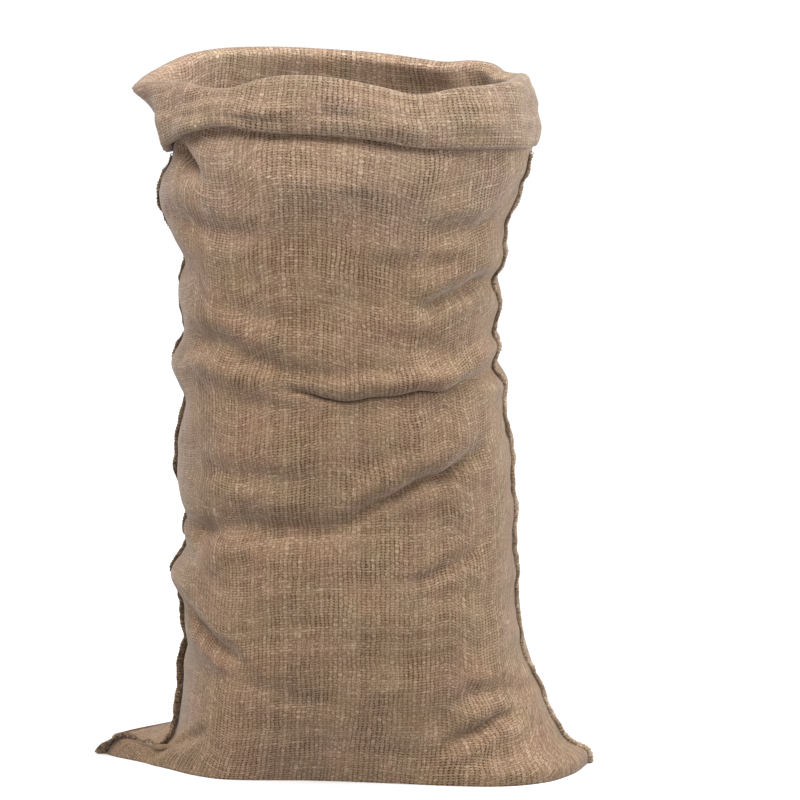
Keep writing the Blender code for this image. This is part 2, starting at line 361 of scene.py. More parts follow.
@dataclass(frozen=True)
class Crumple:
    """Random swells and thin creases of slack cloth, the same in every run.

    Attributes:
        seed: Start of the random numbers.
        waves: How many waves are added up in one field.
        around: Fewest and most waves that one goes through round the sack.
        tall: Shortest and longest wave up the sack, in mm.
        swell: Height of the soft swells in mm.
        crease: Depth of the thin creases in mm.
        sharpness: Narrowness of the creases.
        creased: Values of a random field between which the creases fade in.
        pucker: Depth of the puckers beside a seam, in mm.
        pucker_lengths: Lengths from pucker to pucker, which add up, in mm.
        pucker_drop: How far a pucker runs down for each degree from the seam, in mm.
        pucker_reach: How far they run from the seam, in degrees.
    """

    seed: int = 4
    waves: int = 26
    around: tuple[int, int] = (2, 11)
    tall: tuple[float, float] = (38.0, 130.0)
    swell: float = 0.75
    crease: float = 1.2
    sharpness: float = 5.0
    creased: tuple[float, float] = (-0.2, 1.2)
    pucker: float = 0.7
    pucker_lengths: tuple[float, ...] = (21.0, 34.0, 55.0)
    pucker_drop: float = 0.4
    pucker_reach: float = 7.0

    # What is drawn at random; each has a seed of its own
    SWELLS, CREASES, CREASED_PLACES, CUFF_RIPPLES, PUCKERS, CUFF_SWELLS = range(6)

    def field(self, turn: Array, height: Array, use: int) -> Array:
        """A random wavy field about 1 high that closes up all round.

        Args:
            turn: Turn angles in degrees.
            height: Heights in mm.
            use: What the field is for, which chooses its seed.

        Returns:
            The field's value at each place.
        """
        draw = np.random.default_rng(self.seed + use)
        total = np.zeros_like(height)
        for _ in range(self.waves):
            turns = draw.integers(*self.around) * draw.choice((-1, 1))
            length = draw.uniform(*self.tall)
            phase = draw.uniform(0.0, math.tau)
            total += np.sin(np.radians(turn) * turns + height / length * math.tau + phase)
        return total * math.sqrt(2.0 / self.waves)

    def shift(self, turn: Array, height: Array) -> Array:
        """How far the crumpling moves the cloth out, in mm.

        Args:
            turn: Turn angles in degrees.
            height: Heights in mm.

        Returns:
            The push at each place.
        """
        swells = self.field(turn, height, self.SWELLS)
        lines = self.field(turn, height, self.CREASES)
        where = ease(*self.creased, self.field(turn, height, self.CREASED_PLACES))
        creases = np.exp(-((lines * self.sharpness) ** 2)) * where
        return self.swell * swells - self.crease * creases

    def puckers(self, away: Array, height: Array) -> Array:
        """How far the puckers beside a seam move the cloth out, in mm.

        Args:
            away: Turn angle from the seam, in degrees.
            height: Heights in mm.

        Returns:
            The push at each place.
        """
        draw = np.random.default_rng(self.seed + self.PUCKERS)
        along = height + self.pucker_drop * np.abs(away)
        waves = sum(
            np.sin(along / length * math.tau + draw.uniform(0.0, math.tau))
            for length in self.pucker_lengths
        )
        waves = self.pucker * waves / (len(self.pucker_lengths) / 2)
        return waves * np.exp(-np.abs(away) / self.pucker_reach)


@dataclass
class SackForm:
    """The sack's surface, worked out from its sections, base, mouth and folds.

    Attributes:
        left_seam: Turn angle of the left seam.
        right_seam: Turn angle of the right seam.
        plan_power: Squareness of the body's plan; 2 is an ellipse.
        pleat_focus: How fast the side pleats die out away from the seams.
        pleat_span: Height over which the sections are averaged away from the seams.
        ear_slide_reach: How far round the cloth slides with the left seam, in degrees.
        ear_sag_reach: How far round it sags with it, ahead of the seam and behind it.
        wander: How far the right seam strays to either side, in degrees.
        wander_reach: How far round the cloth strays with it, in degrees.
        wander_lengths: Lengths of its waves in mm, which add up.
        wander_from: Heights in mm between which it starts to stray.
        rough_from: Heights in mm between which crumples and puckers start.
        ear_spread_left: Sines of the turn between which the left side is an ear.
        ear_spread_right: The same on the right.
        sections: How far the body's four sides lie from its axis, by height.
        front_base: Edge of the bottom on the floor along the front, from the left.
        back_base: The same along the back, from the right.
        rise: By height, how much of the base's outline is left at the left side, the
            right and between them, how far the left seam slides forward in degrees,
            and how far it sags on its ear in mm.
        mouth: By turn, rim and foot of the cuff: how far each lies outside the body
            and how high, how far the cuff bellies out, and the neck behind it.
        folds: The slack folds.
        dents: The round hollows and bulges.
        crumple: The random small form.
    """

    left_seam: float = -92.0
    right_seam: float = 84.0
    plan_power: float = 2.25
    pleat_focus: float = 5.0
    pleat_span: float = 70.0
    ear_slide_reach: float = 30.0
    ear_sag_reach: tuple[float, float] = (12.0, 48.0)
    wander: float = 1.1
    wander_reach: float = 14.0
    wander_lengths: tuple[float, float] = (149.0, 67.0)
    wander_from: tuple[float, float] = (30.0, 90.0)
    rough_from: tuple[float, float] = (4.0, 40.0)
    ear_spread_left: tuple[float, float] = (0.62, 0.97)
    ear_spread_right: tuple[float, float] = (0.25, 0.90)

    sections: SmoothTable = SmoothTable((
        # height, left, right, front, back
        (0, 176, 190, 170, 170),
        (60, 178, 190, 174, 172),
        (105, 175, 189, 177, 175),
        (131, 172, 189, 178, 176),
        (151, 176, 190, 179, 176),
        (174, 178, 190, 179, 177),
        (201, 193, 188, 178, 178),
        (222, 180, 188, 177, 179),
        (237, 173, 188, 176, 179),
        (259, 177, 187, 174, 178),
        (271, 172, 186, 172, 177),
        (292, 181, 187, 170, 175),
        (315, 185, 185, 174, 173),
        (337, 182, 183, 178, 174),
        (360, 181, 180, 180, 176),
        (380, 177, 176, 180, 178),
        (402, 174, 176, 178, 179),
        (418, 182, 175, 175, 179),
        (438, 189, 164, 178, 178),
        (462, 179, 169, 181, 176),
        (477, 175, 161, 181, 174),
        (508, 180, 169, 179, 173),
        (533, 177, 164, 178, 174),
        (553, 173, 174, 177, 176),
        (579, 187, 176, 175, 177),
        (597, 195, 176, 173, 177),
        (619, 201, 185, 174, 175),
        (638, 198, 193, 175, 172),
        (657, 188, 201, 173, 169),
        (674, 186, 203, 170, 167),
        (700, 188, 202, 168, 166),
    ))
    front_base: SmoothTable = SmoothTable((
        # share, x, y
        (0.00, -264, -27),
        (0.05, -251, -42),
        (0.11, -224, -62),
        (0.20, -188, -94),
        (0.28, -150, -127),
        (0.36, -112, -142),
        (0.50, -25, -138),
        (0.64, 62, -144),
        (0.76, 130, -151),
        (0.86, 190, -147),
        (0.93, 233, -121),
        (0.97, 258, -76),
        (1.00, 269, -26),
    ))
    back_base: SmoothTable = SmoothTable((
        # share, x, y
        (0.00, 269, -26),
        (0.07, 246, 30),
        (0.18, 190, 98),
        (0.34, 105, 138),
        (0.50, 2, 146),
        (0.66, -98, 137),
        (0.80, -163, 92),
        (0.90, -208, 40),
        (0.96, -244, 0),
        (1.00, -264, -27),
    ))
    rise: SmoothTable = SmoothTable((
        # height, left, right, middle, slide, sag
        (0, 1.00, 1.00, 1.00, 0, 0),
        (8, 0.96, 1.00, 0.88, 3, -5),
        (14, 0.93, 0.97, 0.80, 6, -6),
        (20, 0.89, 0.82, 0.74, 12, -2),
        (24, 0.88, 0.73, 0.70, 19, 4),
        (28, 0.82, 0.68, 0.66, 25, 10),
        (33, 0.58, 0.63, 0.61, 23, 14),
        (40, 0.26, 0.57, 0.55, 17, 15),
        (50, 0.11, 0.50, 0.47, 12, 11),
        (66, 0.06, 0.41, 0.37, 9, 5),
        (90, 0.03, 0.30, 0.25, 7, 1),
        (120, 0.00, 0.15, 0.14, 7, 0),
        (150, 0.00, 0.03, 0.07, 7, 0),
        (174, 0.00, 0.00, 0.03, 4, 0),
        (201, 0.00, 0.00, 0.00, -3, 0),
        (230, 0.00, 0.00, 0.00, -1, 0),
        (262, 0.00, 0.00, 0.00, 3, 0),
        (292, 0.00, 0.00, 0.00, -1, 0),
        (330, 0.00, 0.00, 0.00, 5, 0),
        (395, 0.00, 0.00, 0.00, 5, 0),
        (438, 0.00, 0.00, 0.00, -4, 0),
        (478, 0.00, 0.00, 0.00, 3, 0),
        (508, 0.00, 0.00, 0.00, 0, 0),
        (540, 0.00, 0.00, 0.00, 4, 0),
        (585, 0.00, 0.00, 0.00, 2, 0),
        (625, 0.00, 0.00, 0.00, 4, 0),
        (668, 0.00, 0.00, 0.00, 4, 0),
        (720, 0.00, 0.00, 0.00, 0, 0),
    ))
    mouth: SmoothTable = SmoothTable((
        # turn, rim_out, rim_height, cuff_out, cuff_height, belly, throat
        (-90, 43, 746, 0, 668, -6, 0),
        (-75, 23, 750, 9, 676, -1, 0),
        (-60, 9, 752, 10, 690, 2, 0),
        (-45, 6, 750, 10, 704, 4, 0),
        (-32, 7, 752, 11, 711, 5, 0),
        (-18, 8, 765, 12, 707, 5, 0),
        (-4, 8, 768, 12, 706, 5, 0),
        (12, 5, 757, 12, 700, 5, 0),
        (25, 4, 747, 10, 691, 5, 0),
        (40, 3, 752, 9, 688, 5, 0),
        (60, 3, 753, 8, 684, 5, 0),
        (90, -3, 755, 2, 676, 2, 0),
        (108, -2, 750, 5, 681, 3, 4),
        (120, -5, 750, 9, 684, 4, -9),
        (132, 5, 755, 9, 688, 4, 7),
        (142, 6, 756, 9, 692, 4, -6),
        (154, 4, 753, 9, 695, 4, 3),
        (180, 7, 762, 9, 700, 4, 0),
        (210, 8, 768, 9, 700, 4, 0),
        (240, 14, 767, 9, 690, 2, 0),
        (258, 30, 755, 7, 676, -2, 0),
    ), period=360.0)
    folds: tuple[Fold, ...] = (
        # Front, from the cuff down
        Fold((-50, -14, 27), (690, 697, 683), -4, 10, upper=0.0, lower=0.0),
        Fold((-77, -49, -18), (608, 612, 599), 6, 14, 2, lower=0.0),
        Fold((28, 44, 68), (606, 609, 613), 8, 13, 1, lower=0.1),
        Fold((2, 22, 50), (570, 576, 582), 3, 13, upper=0.2, lower=0.1),
        Fold((30, 47, 74), (527, 536, 546), 14, 11, 4, upper=0.2, lower=0.1),
        Fold((-38, -22, -8), (522, 520, 517), 3, 12),
        Fold((10, 32, 56), (500, 488, 468), 4, 14, upper=0.2, lower=0.15),
        Fold((-67, -34, 0), (479, 480, 448), 8, 15, 3, lower=0.5),
        Fold((22, 44, 78), (450, 456, 460), -4, 10, upper=0.1, lower=0.1),
        Fold((-14, 20, 58), (425, 426, 435), 12, 6.5, 12, upper=0.9, lower=0.2),
        Fold((50, 66, 82), (434, 439, 443), 4, 7, 2),
        Fold((-62, -26, 0), (340, 346, 346), 3, 12),
        Fold((60, 31, 3), (357, 338, 292), 13, 12, 8, upper=0.5, lower=0.2),
        Fold((-68, -34, 4), (270, 286, 292), 9, 17, 3, lower=0.25),
        Fold((58, 44, 22), (263, 250, 226), 5, 9, 1),
        Fold((-64, -50, -29), (183, 162, 136), 11, 11, 3, lower=0.1),
        Fold((-58, -32, 3), (131, 121, 93), 2.5, 13, 1),
        Fold((41, 58, 79), (95, 102, 97), 7, 11, 1),
        Fold((37, 53, 72), (44, 62, 79), 11, 10, 5),
        Fold((-68, -57, -45), (20, 38, 55), 5, 9),
        # Back, from the cuff down
        Fold((140, 175, 215), (652, 640, 650), 6, 16),
        Fold((120, 160, 205), (560, 574, 552), 9, 14, 3),
        Fold((205, 235, 265), (512, 496, 477), 8, 14, 2),
        Fold((110, 150, 200), (452, 436, 449), 12, 10, 11, upper=0.8),
        Fold((190, 222, 262), (352, 330, 309), 11, 14, 4),
        Fold((100, 128, 165), (330, 306, 300), 10, 12, 8, upper=0.6),
        Fold((150, 190, 240), (228, 214, 236), 9, 16, 2),
        Fold((108, 135, 160), (176, 148, 128), 9, 12, 2),
        Fold((205, 225, 246), (128, 102, 80), 9, 13, 2),
    )
    dents: tuple[Dent, ...] = (
        # The pocket under the cuff's left end, and the fuller cloth beside it
        Dent(-56, 669, 27, 8, 10, -9),
        Dent(-9, 674, -11, 40, 26),
        Dent(4, 655, -9, 22, 22),
        Dent(-8, 622, -8, 48, 50),
        Dent(-54, 271, 6, 8, 9),
        # Fuller places between the folds
        Dent(32, 392, -4, 26, 20),
    )
    crumple: Crumple = Crumple()

    # Where the columns are spaced out: at how many places, and how high in mm
    OUTLINE_PLACES = 721
    MID_HEIGHT = 350.0

    def plan(self, turn: Array, height: Array) -> Array:
        """Points of the body's plan, without folds.

        Args:
            turn: Turn angles in degrees.
            height: Heights in mm, in a shape that matches turn.

        Returns:
            Points in mm, with a last axis of x, y and z.
        """
        turn, height = np.broadcast_arrays(turn, height)
        angle = np.radians(turn)
        across, along = np.sin(angle), -np.cos(angle)
        steps = (-1.0, -0.5, 0.0, 0.5, 1.0)
        reach_x = np.empty_like(across)
        for side, chosen in ((1, across < 0), (2, across >= 0)):
            level = height[chosen]
            calm = sum(self.sections.read(side, level + k * self.pleat_span) for k in steps)
            calm = calm / len(steps)
            pleated = self.sections.read(side, level)
            share = np.abs(across[chosen]) ** self.pleat_focus
            reach_x[chosen] = calm + (pleated - calm) * share
        front, back = self.sections.read(3, height), self.sections.read(4, height)
        reach_y = np.where(along < 0, front, back)
        power = 2.0 / self.plan_power
        x = np.sign(across) * np.abs(across) ** power * reach_x
        y = np.sign(along) * np.abs(along) ** power * reach_y
        return np.stack([x, y, height.astype(float)], axis=-1)

    def outward(self, turn: Array, height: Array) -> Array:
        """Level directions that point out of the body's plan.

        Args:
            turn: Turn angles in degrees.
            height: Heights in mm.

        Returns:
            Unit directions, with a last axis of x, y and z.
        """
        step = 1.0
        along = self.plan(turn + step, height) - self.plan(turn - step, height)
        normal = np.stack([along[..., 1], -along[..., 0], np.zeros_like(along[..., 0])], axis=-1)
        return normal / np.linalg.norm(normal, axis=-1, keepdims=True)

    def push(self, turn: Array, height: Array) -> tuple[Array, Array]:
        """Sum of all folds, dents, crumples and puckers.

        Args:
            turn: Turn angles in degrees.
            height: Heights in mm.

        Returns:
            How far the cloth moves out, and how far down, in mm.
        """
        out, down = np.zeros_like(height), np.zeros_like(height)
        for fold in self.folds:
            moved_out, moved_down = fold.shift(turn, height)
            out += moved_out
            down += moved_down
        for dent in self.dents:
            out += dent.shift(turn, height)
        rough = self.crumple.shift(turn, height)
        for seam in (self.left_seam, self.right_seam):
            rough += self.crumple.puckers(self.away(turn, seam), height)
        out += rough * ease(*self.rough_from, height)
        return out, down

    def base_share(self, turn: Array, height: Array) -> Array:
        """How much the wall still follows the base's outline.

        Args:
            turn: Turn angles in degrees.
            height: Heights in mm.

        Returns:
            The share at each place, from 0 to 1.
        """
        across = np.sin(np.radians(turn))
        middle = self.rise.read(3, height)
        left = (self.rise.read(1, height) - middle) * ease(*self.ear_spread_left, -across)
        right = (self.rise.read(2, height) - middle) * ease(*self.ear_spread_right, across)
        return middle + np.where(across < 0, left, right)

    @staticmethod
    def away(turn: Array, seam: float) -> Array:
        """Turn angle from a seam, from -180 to 180."""
        return (turn - seam + 180.0) % 360.0 - 180.0

    def slid(self, turn: Array, height: Array) -> Array:
        """Slide the cloth round, at the left seam and where the right seam strays.

        Args:
            turn: Turn angles in degrees.
            height: Heights in mm.

        Returns:
            The turn angles after that.
        """
        slide = self.rise.read(4, height) * self.near_left(turn, self.ear_slide_reach)
        near = np.exp(-((self.away(turn, self.right_seam) / self.wander_reach) ** 2))
        wave = sum(np.sin(height / length * math.tau) for length in self.wander_lengths)
        return turn + slide + self.wander * wave * near * ease(*self.wander_from, height)

    def near_left(self, turn: Array, reach: float | Array) -> Array:
        """Nearness to the left seam, from 1 on it to 0 a few reaches away."""
        return np.exp(-((self.away(turn, self.left_seam) / reach) ** 2))

    def wall(self, turn: Array, height: Array) -> Array:
        """Points of the cloth's face on the wall, folds included.

        Args:
            turn: Turn angles, shaped (columns, 1).
            height: Heights in mm, shaped (columns, steps).

        Returns:
            Points in mm, shaped (columns, steps, 3).
        """
        turn = np.broadcast_to(turn, height.shape)
        ahead, behind = self.ear_sag_reach
        reach = np.where(self.away(turn, self.left_seam) < 0.0, behind, ahead)
        sag = self.rise.read(5, height) * self.near_left(turn, reach)
        turn = self.slid(turn, height)
        points = self.plan(turn, height)
        kept = self.base_share(turn, height)[..., None]
        points[..., :2] += (self.base_edge(turn) - points[..., :2]) * kept
        out, down = self.push(turn, height)
        points += self.outward(turn, height) * out[..., None]
        points[..., 2] = np.maximum(0.0, height - down - sag)
        return points

    def base_edge(self, turn: Array) -> Array:
        """Where the cloth leaves the floor.

        Args:
            turn: Turn angles in degrees.

        Returns:
            Points in mm, with a last axis of x and y.
        """
        place = (turn - self.left_seam) % 360.0
        front = self.right_seam - self.left_seam
        ahead, behind = place / front, (place - front) / (360.0 - front)
        edge = [
            np.where(place <= front, self.front_base.read(k, ahead), self.back_base.read(k, behind))
            for k in (1, 2)
        ]
        return np.stack(edge, axis=-1)

    def column_turns(self, panel: Panel, count: int) -> Array:
        """Turn angles of evenly spaced threads from one seam to the other.

        Args:
            panel: The face of the sack.
            count: How many gaps lie between the columns.

        Returns:
            count + 1 turn angles, evenly spaced along the plan at mid height.
        """
        first, last = self.left_seam, self.right_seam
        if panel is Panel.BACK:
            first, last = self.right_seam, self.left_seam + 360.0
        turns = np.linspace(first, last, self.OUTLINE_PLACES)
        outline = self.plan(turns, np.full_like(turns, self.MID_HEIGHT))
        run = np.concatenate([[0.0], np.cumsum(np.linalg.norm(np.diff(outline, axis=0), axis=1))])
        return np.interp(np.linspace(0.0, run[-1], count + 1), run, turns)


# ---------------------------------------------------------------------------
# The cloth
# ---------------------------------------------------------------------------


@dataclass
class SackCloth:
    """The one length of jute cloth, from its hem down to the bottom fold and up again.

    Attributes:
        form: The surface that the cloth lies on.
        thickness: Thickness of the cloth in mm.
        panel_width: Width of the cloth between the seams, in mm.
        allowance: Cloth taken up by one seam, in mm; not used.
        half_length: Length from the bottom fold to the cut edge in the hem, in mm.
        columns: Columns of faces from seam to seam.
        floor_rows: Rows of faces from the bottom fold to the base's edge.
        wall_rows: Rows up the wall.
        neck_rows: Rows up the neck behind the cuff to the top of the rim.
        cuff_rows: Rows down the cuff and into its hem.
        side_rows: Rows over which one side of the cloth's look changes to the other.
        path_step: Longest step of the fine paths up the wall, in mm.
        curve_steps: Steps between two places of the mouth's profile.
        row_crowding: Power that crowds the wall's rows towards the floor.
        rim_radius: Radius of the rolled rim in mm.
        hem_radius: Radius of the hem's fold in mm.
        hem_depth: How far up the cut edge lies in the hem, in mm.
        cuff_stand: How far the cuff's foot stands out past the table, in mm.
        cuff_ripple: Height of the ripples round the cuff, in mm.
        cuff_swell: Height of the swells on the cuff, in mm.
        swell_drift: How far the swells change from rim to foot, in mm of height.
        hem_evenness: How far the ripples are rounded off in the hem, in mm.
        groove: Depth of the groove in the cuff over each seam, in mm.
        groove_reach: Half width of that groove in degrees.
        neck_below_cuff: How far below the cuff's foot the wall ends, in mm.
        throat_above_foot: Height of the neck's tightest place over the foot, in mm.
        seam_gap: Gap between the two panels on the UV map, in mm.
        tip_flat: Height in mm up to which a seam lies down on its ear's tip.
        grids: Numbers of each panel's points by column and row, once it is built.
        points: The cloth's points in mm, once it is built.
    """

    form: SackForm
    thickness: float = 1.3
    panel_width: float = 576.0
    allowance: float = 12.0
    half_length: float = 1030.0
    columns: int = 98
    floor_rows: int = 6
    wall_rows: int = 196
    neck_rows: int = 22
    cuff_rows: int = 28
    side_rows: int = 4
    path_step: float = 1.0
    curve_steps: int = 12
    row_crowding: float = 1.08
    rim_radius: float = 9.0
    hem_radius: float = 4.6
    hem_depth: float = 18.0
    cuff_stand: float = 3.0
    cuff_ripple: float = 2.4
    cuff_swell: float = 1.5
    swell_drift: float = 150.0
    hem_evenness: float = 1.2
    groove: float = 2.2
    groove_reach: float = 2.5
    neck_below_cuff: float = 6.0
    throat_above_foot: float = 18.0
    seam_gap: float = 40.0
    tip_flat: float = 8.0

    grids: dict[Panel, Array] = field(default_factory=dict)
    points: Array = field(default_factory=lambda: np.zeros((0, 3)))

    # Least length that a direction is divided by
    TINY = 1e-9

    def wall_paths(self, turns: Array) -> Array:
        """Fine paths up the wall.

        Args:
            turns: Turn angles of the columns.

        Returns:
            One path a column, shaped (columns, steps, 3).
        """
        top = self.form.mouth.read(4, turns) - self.neck_below_cuff
        steps = int(math.ceil(top.max() / self.path_step))
        height = top[:, None] * np.linspace(0.0, 1.0, steps + 1)[None, :]
        return self.form.wall(turns[:, None], height)

    def mouth_paths(self, turns: Array) -> tuple[Array, Array]:
        """Fine paths from the neck over the rim, and from the rim to the hem's edge.

        Args:
            turns: Turn angles of the columns.

        Returns:
            The neck's paths and the cuff's paths, shaped (columns, steps, 3).
        """
        form, crumple = self.form, self.form.crumple
        rim_out, rim_top, foot_out, foot, bulge, throat = (
            form.mouth.read(column, turns) for column in range(1, 7)
        )
        ripple = crumple.field(turns, foot, crumple.CUFF_RIPPLES) * self.cuff_ripple
        foot_out = foot_out + self.cuff_stand + np.hypot(ripple, self.hem_evenness)
        foot_out = foot_out - self.hem_evenness
        neck_height = foot - self.neck_below_cuff
        start = form.wall(turns[:, None], neck_height[:, None])[:, 0]
        base = form.plan(form.slid(turns, neck_height), neck_height)
        away = form.outward(form.slid(turns, neck_height), neck_height)
        lead = np.sum((start - base) * away, axis=1)
        for seam in (form.left_seam, form.right_seam):
            near = np.exp(-((form.away(turns, seam) / self.groove_reach) ** 2))
            rim_out, foot_out = rim_out - self.groove * near, foot_out - self.groove * near

        def profile(places: Iterable[tuple[Array, Array]]) -> Array:
            """Smooth paths through places of the profile.

            Args:
                places: How far out of the body, and how high, each place lies.

            Returns:
                One path a column, shaped (columns, steps, 3).
            """
            flat = np.stack([np.stack(np.broadcast_arrays(*place), -1) for place in places], 1)
            curve = rounded(flat, self.curve_steps)
            line = base[:, None, :] + away[:, None, :] * curve[..., :1]
            line[..., 2] = curve[..., 1]
            return line

        roll, fold = self.rim_radius, self.hem_radius
        crown, low = rim_top - self.thickness, foot + self.thickness + fold
        middle = (rim_out - roll, crown - roll)
        neck = [(lead, neck_height), (throat, foot + self.throat_above_foot)]
        neck += arc(*middle, roll, (180, 150, 120, 90))
        cuff = arc(*middle, roll, (90, 60, 30, 0))
        for share in (0.2, 0.4, 0.6, 0.8):
            swell = crumple.field(turns, foot + self.swell_drift * share, crumple.CUFF_SWELLS)
            belly = (bulge - ripple + self.cuff_swell * swell) * math.sin(math.pi * share)
            out = rim_out + (foot_out - rim_out) * share + belly
            cuff.append((out, middle[1] + (low - middle[1]) * share))
        cuff += arc(foot_out - fold, low, fold, (0, -45, -90, -135, -180))
        cuff.append((foot_out - 2 * fold, foot + self.hem_depth))
        return profile(neck), profile(cuff)

    def column_points(self, turns: Array) -> Array:
        """All rows of a panel's columns above the floor.

        Args:
            turns: Turn angles of the columns.

        Returns:
            Points in mm, shaped (columns, rows, 3).
        """
        crowd = np.linspace(0.0, 1.0, self.wall_rows + 1) ** self.row_crowding
        wall = spread(self.wall_paths(turns), crowd)
        neck_path, cuff_path = self.mouth_paths(turns)
        neck = spread(neck_path, np.linspace(0.0, 1.0, self.neck_rows + 1))
        cuff = spread(cuff_path, np.linspace(0.0, 1.0, self.cuff_rows + 1))
        return np.concatenate([wall, neck[:, 1:], cuff[:, 1:]], axis=1)

    def floor_points(self, fold: Array, edge: Array) -> Array:
        """Rows along the floor from the bottom fold to just short of the edge."""
        shares = (np.arange(self.floor_rows) / self.floor_rows)[None, :, None]
        return fold[:, None, :] * (1.0 - shares) + edge[:, None, :] * shares

    def row_sides(self) -> Array:
        """For each row, which side of the cloth shows.

        Returns:
            0 where the outer side shows, 1 inside the mouth and 2 on the cuff, where
            the inner side shows.
        """
        wall = self.floor_rows + self.wall_rows
        rim = wall + self.neck_rows + 1
        places = (0, wall, wall + self.side_rows, rim - self.side_rows, rim)
        return np.interp(np.arange(rim + self.cuff_rows), places, (0.0, 0.0, 1.0, 1.0, 2.0))

    def lay_out(self) -> tuple[Array, dict[Panel, Array]]:
        """Work out all points, and number them so that the panels share their edges.

        Returns:
            The side of the cloth that shows at each point, and each panel's place on
            the UV map in mm, by column and row.
        """
        verts, sides, uvs = [], [], {}
        count = 0
        shares = np.linspace(0.0, 1.0, self.columns + 1)[:, None]
        for panel in Panel:
            above = self.column_points(self.form.column_turns(panel, self.columns))
            ends = above[[0, -1], 0]
            fold = ends[0] * (1.0 - shares) + ends[1] * shares
            rows = np.concatenate([self.floor_points(fold, above[:, 0]), above], axis=1)
            steps = np.linalg.norm(np.diff(rows, axis=1), axis=2)
            run = np.concatenate([np.zeros((len(rows), 1)), np.cumsum(steps, axis=1)], axis=1)
            grid = np.arange(rows.shape[0] * rows.shape[1]).reshape(rows.shape[:2]) + count
            count += grid.size
            verts.append(rows.reshape(-1, 3))
            sides.append(np.tile(self.row_sides(), len(rows)))
            offset = 0.0 if panel is Panel.FRONT else self.panel_width + self.seam_gap
            across = np.broadcast_to(offset + shares * self.panel_width, run.shape)
            uvs[panel] = np.stack([across, run / run[:, -1:] * self.half_length], axis=-1)
            # The bottom fold ends in the tips of the ears
            grid[[0, -1], : self.floor_rows] = grid[[0, -1], self.floor_rows][:, None]
            if panel is Panel.BACK:
                front = self.grids[Panel.FRONT]
                grid[0], grid[-1] = front[-1], front[0]
                grid[:, 0] = front[::-1, 0]
            self.grids[panel] = grid
        self.points = np.concatenate(verts)
        return np.concatenate(sides), uvs

    def faces(self, uvs: dict[Panel, Array]) -> tuple[list[list[int]], list[Array]]:
        """Faces between the columns and rows.

        Args:
            uvs: Each panel's place on the UV map, by column and row.

        Returns:
            The corners of each face, and the corners' places on the UV map.
        """
        faces, corners = [], []
        for panel in Panel:
            grid, uv = self.grids[panel], uvs[panel]
            for column in range(self.columns):
                for row in range(grid.shape[1] - 1):
                    used = {}
                    for right, up in ((0, 0), (1, 0), (1, 1), (0, 1)):
                        place = (column + right, row + up)
                        used.setdefault(int(grid[place]), uv[place])
                    faces.append(list(used))
                    corners.extend(used.values())
        return faces, corners

    def build(self) -> bpy.types.Object:
        """Model the cloth.

        Returns:
            The cloth's object, with its threads' UV map.
        """
        sides, uvs = self.lay_out()
        faces, corners = self.faces(uvs)
        used, faces = self.compact(faces)
        self.points = self.points[used]
        renumber = np.full(used.max() + 1, -1)
        renumber[used] = np.arange(len(used))
        for panel in Panel:
            self.grids[panel] = renumber[self.grids[panel]]
        piece = mesh_object("hessian_cloth", self.points, faces)
        side = piece.data.attributes.new("side", "FLOAT", "POINT")
        side.data.foreach_set("value", sides[used])
        layer = piece.data.uv_layers.new(name="threads")
        layer.data.foreach_set("uv", (np.array(corners) * MM).ravel())
        shell = piece.modifiers.new("cloth thickness", "SOLIDIFY")
        shell.thickness = self.thickness * MM
        shell.offset = -1.0
        return piece

    def seam_route(self, left: bool) -> tuple[Array, Array]:
        """Points of one seam from the ear's tip to the cuff, with directions out.

        Args:
            left: Whether it is the left seam.

        Returns:
            Points in mm and unit directions out of the cloth.
        """
        front, back = self.grids[Panel.FRONT], self.grids[Panel.BACK]
        rows = slice(self.floor_rows, self.floor_rows + self.wall_rows + 1)
        column, ahead, behind = (
            (front[0], front[1], back[-2]) if left else (front[-1], back[1], front[-2])
        )
        line = self.points[column[rows]]
        round_it = self.points[ahead[rows]] - self.points[behind[rows]]
        normal = np.cross(round_it, np.gradient(line, axis=0))
        length = np.linalg.norm(normal, axis=1, keepdims=True)
        normal = normal / np.maximum(length, self.TINY)
        # Each direction is averaged over five; at the tip the next one stands in
        ends = np.concatenate([normal[1:2]] * 3 + [normal[1:]] + [normal[-1:]] * 2)
        normal = sum(ends[k : k + len(line)] for k in range(5))
        # At the ear's tip the edge lies flat along the floor
        normal[:, 2] *= 1.0 - np.exp(-((line[:, 2] / self.tip_flat) ** 2))
        normal /= np.linalg.norm(normal, axis=1, keepdims=True)
        return line, normal

    @staticmethod
    def compact(faces: list[list[int]]) -> tuple[Array, list[list[int]]]:
        """Number only the points that faces use.

        Args:
            faces: Corners of each face.

        Returns:
            The used points, and the faces with their new numbers.
        """
        used = np.unique(np.concatenate([np.array(face) for face in faces]))
        place = {int(point): index for index, point in enumerate(used)}
        return used, [[place[corner] for corner in face] for face in faces]


# ---------------------------------------------------------------------------
# Sewn sides
# ---------------------------------------------------------------------------


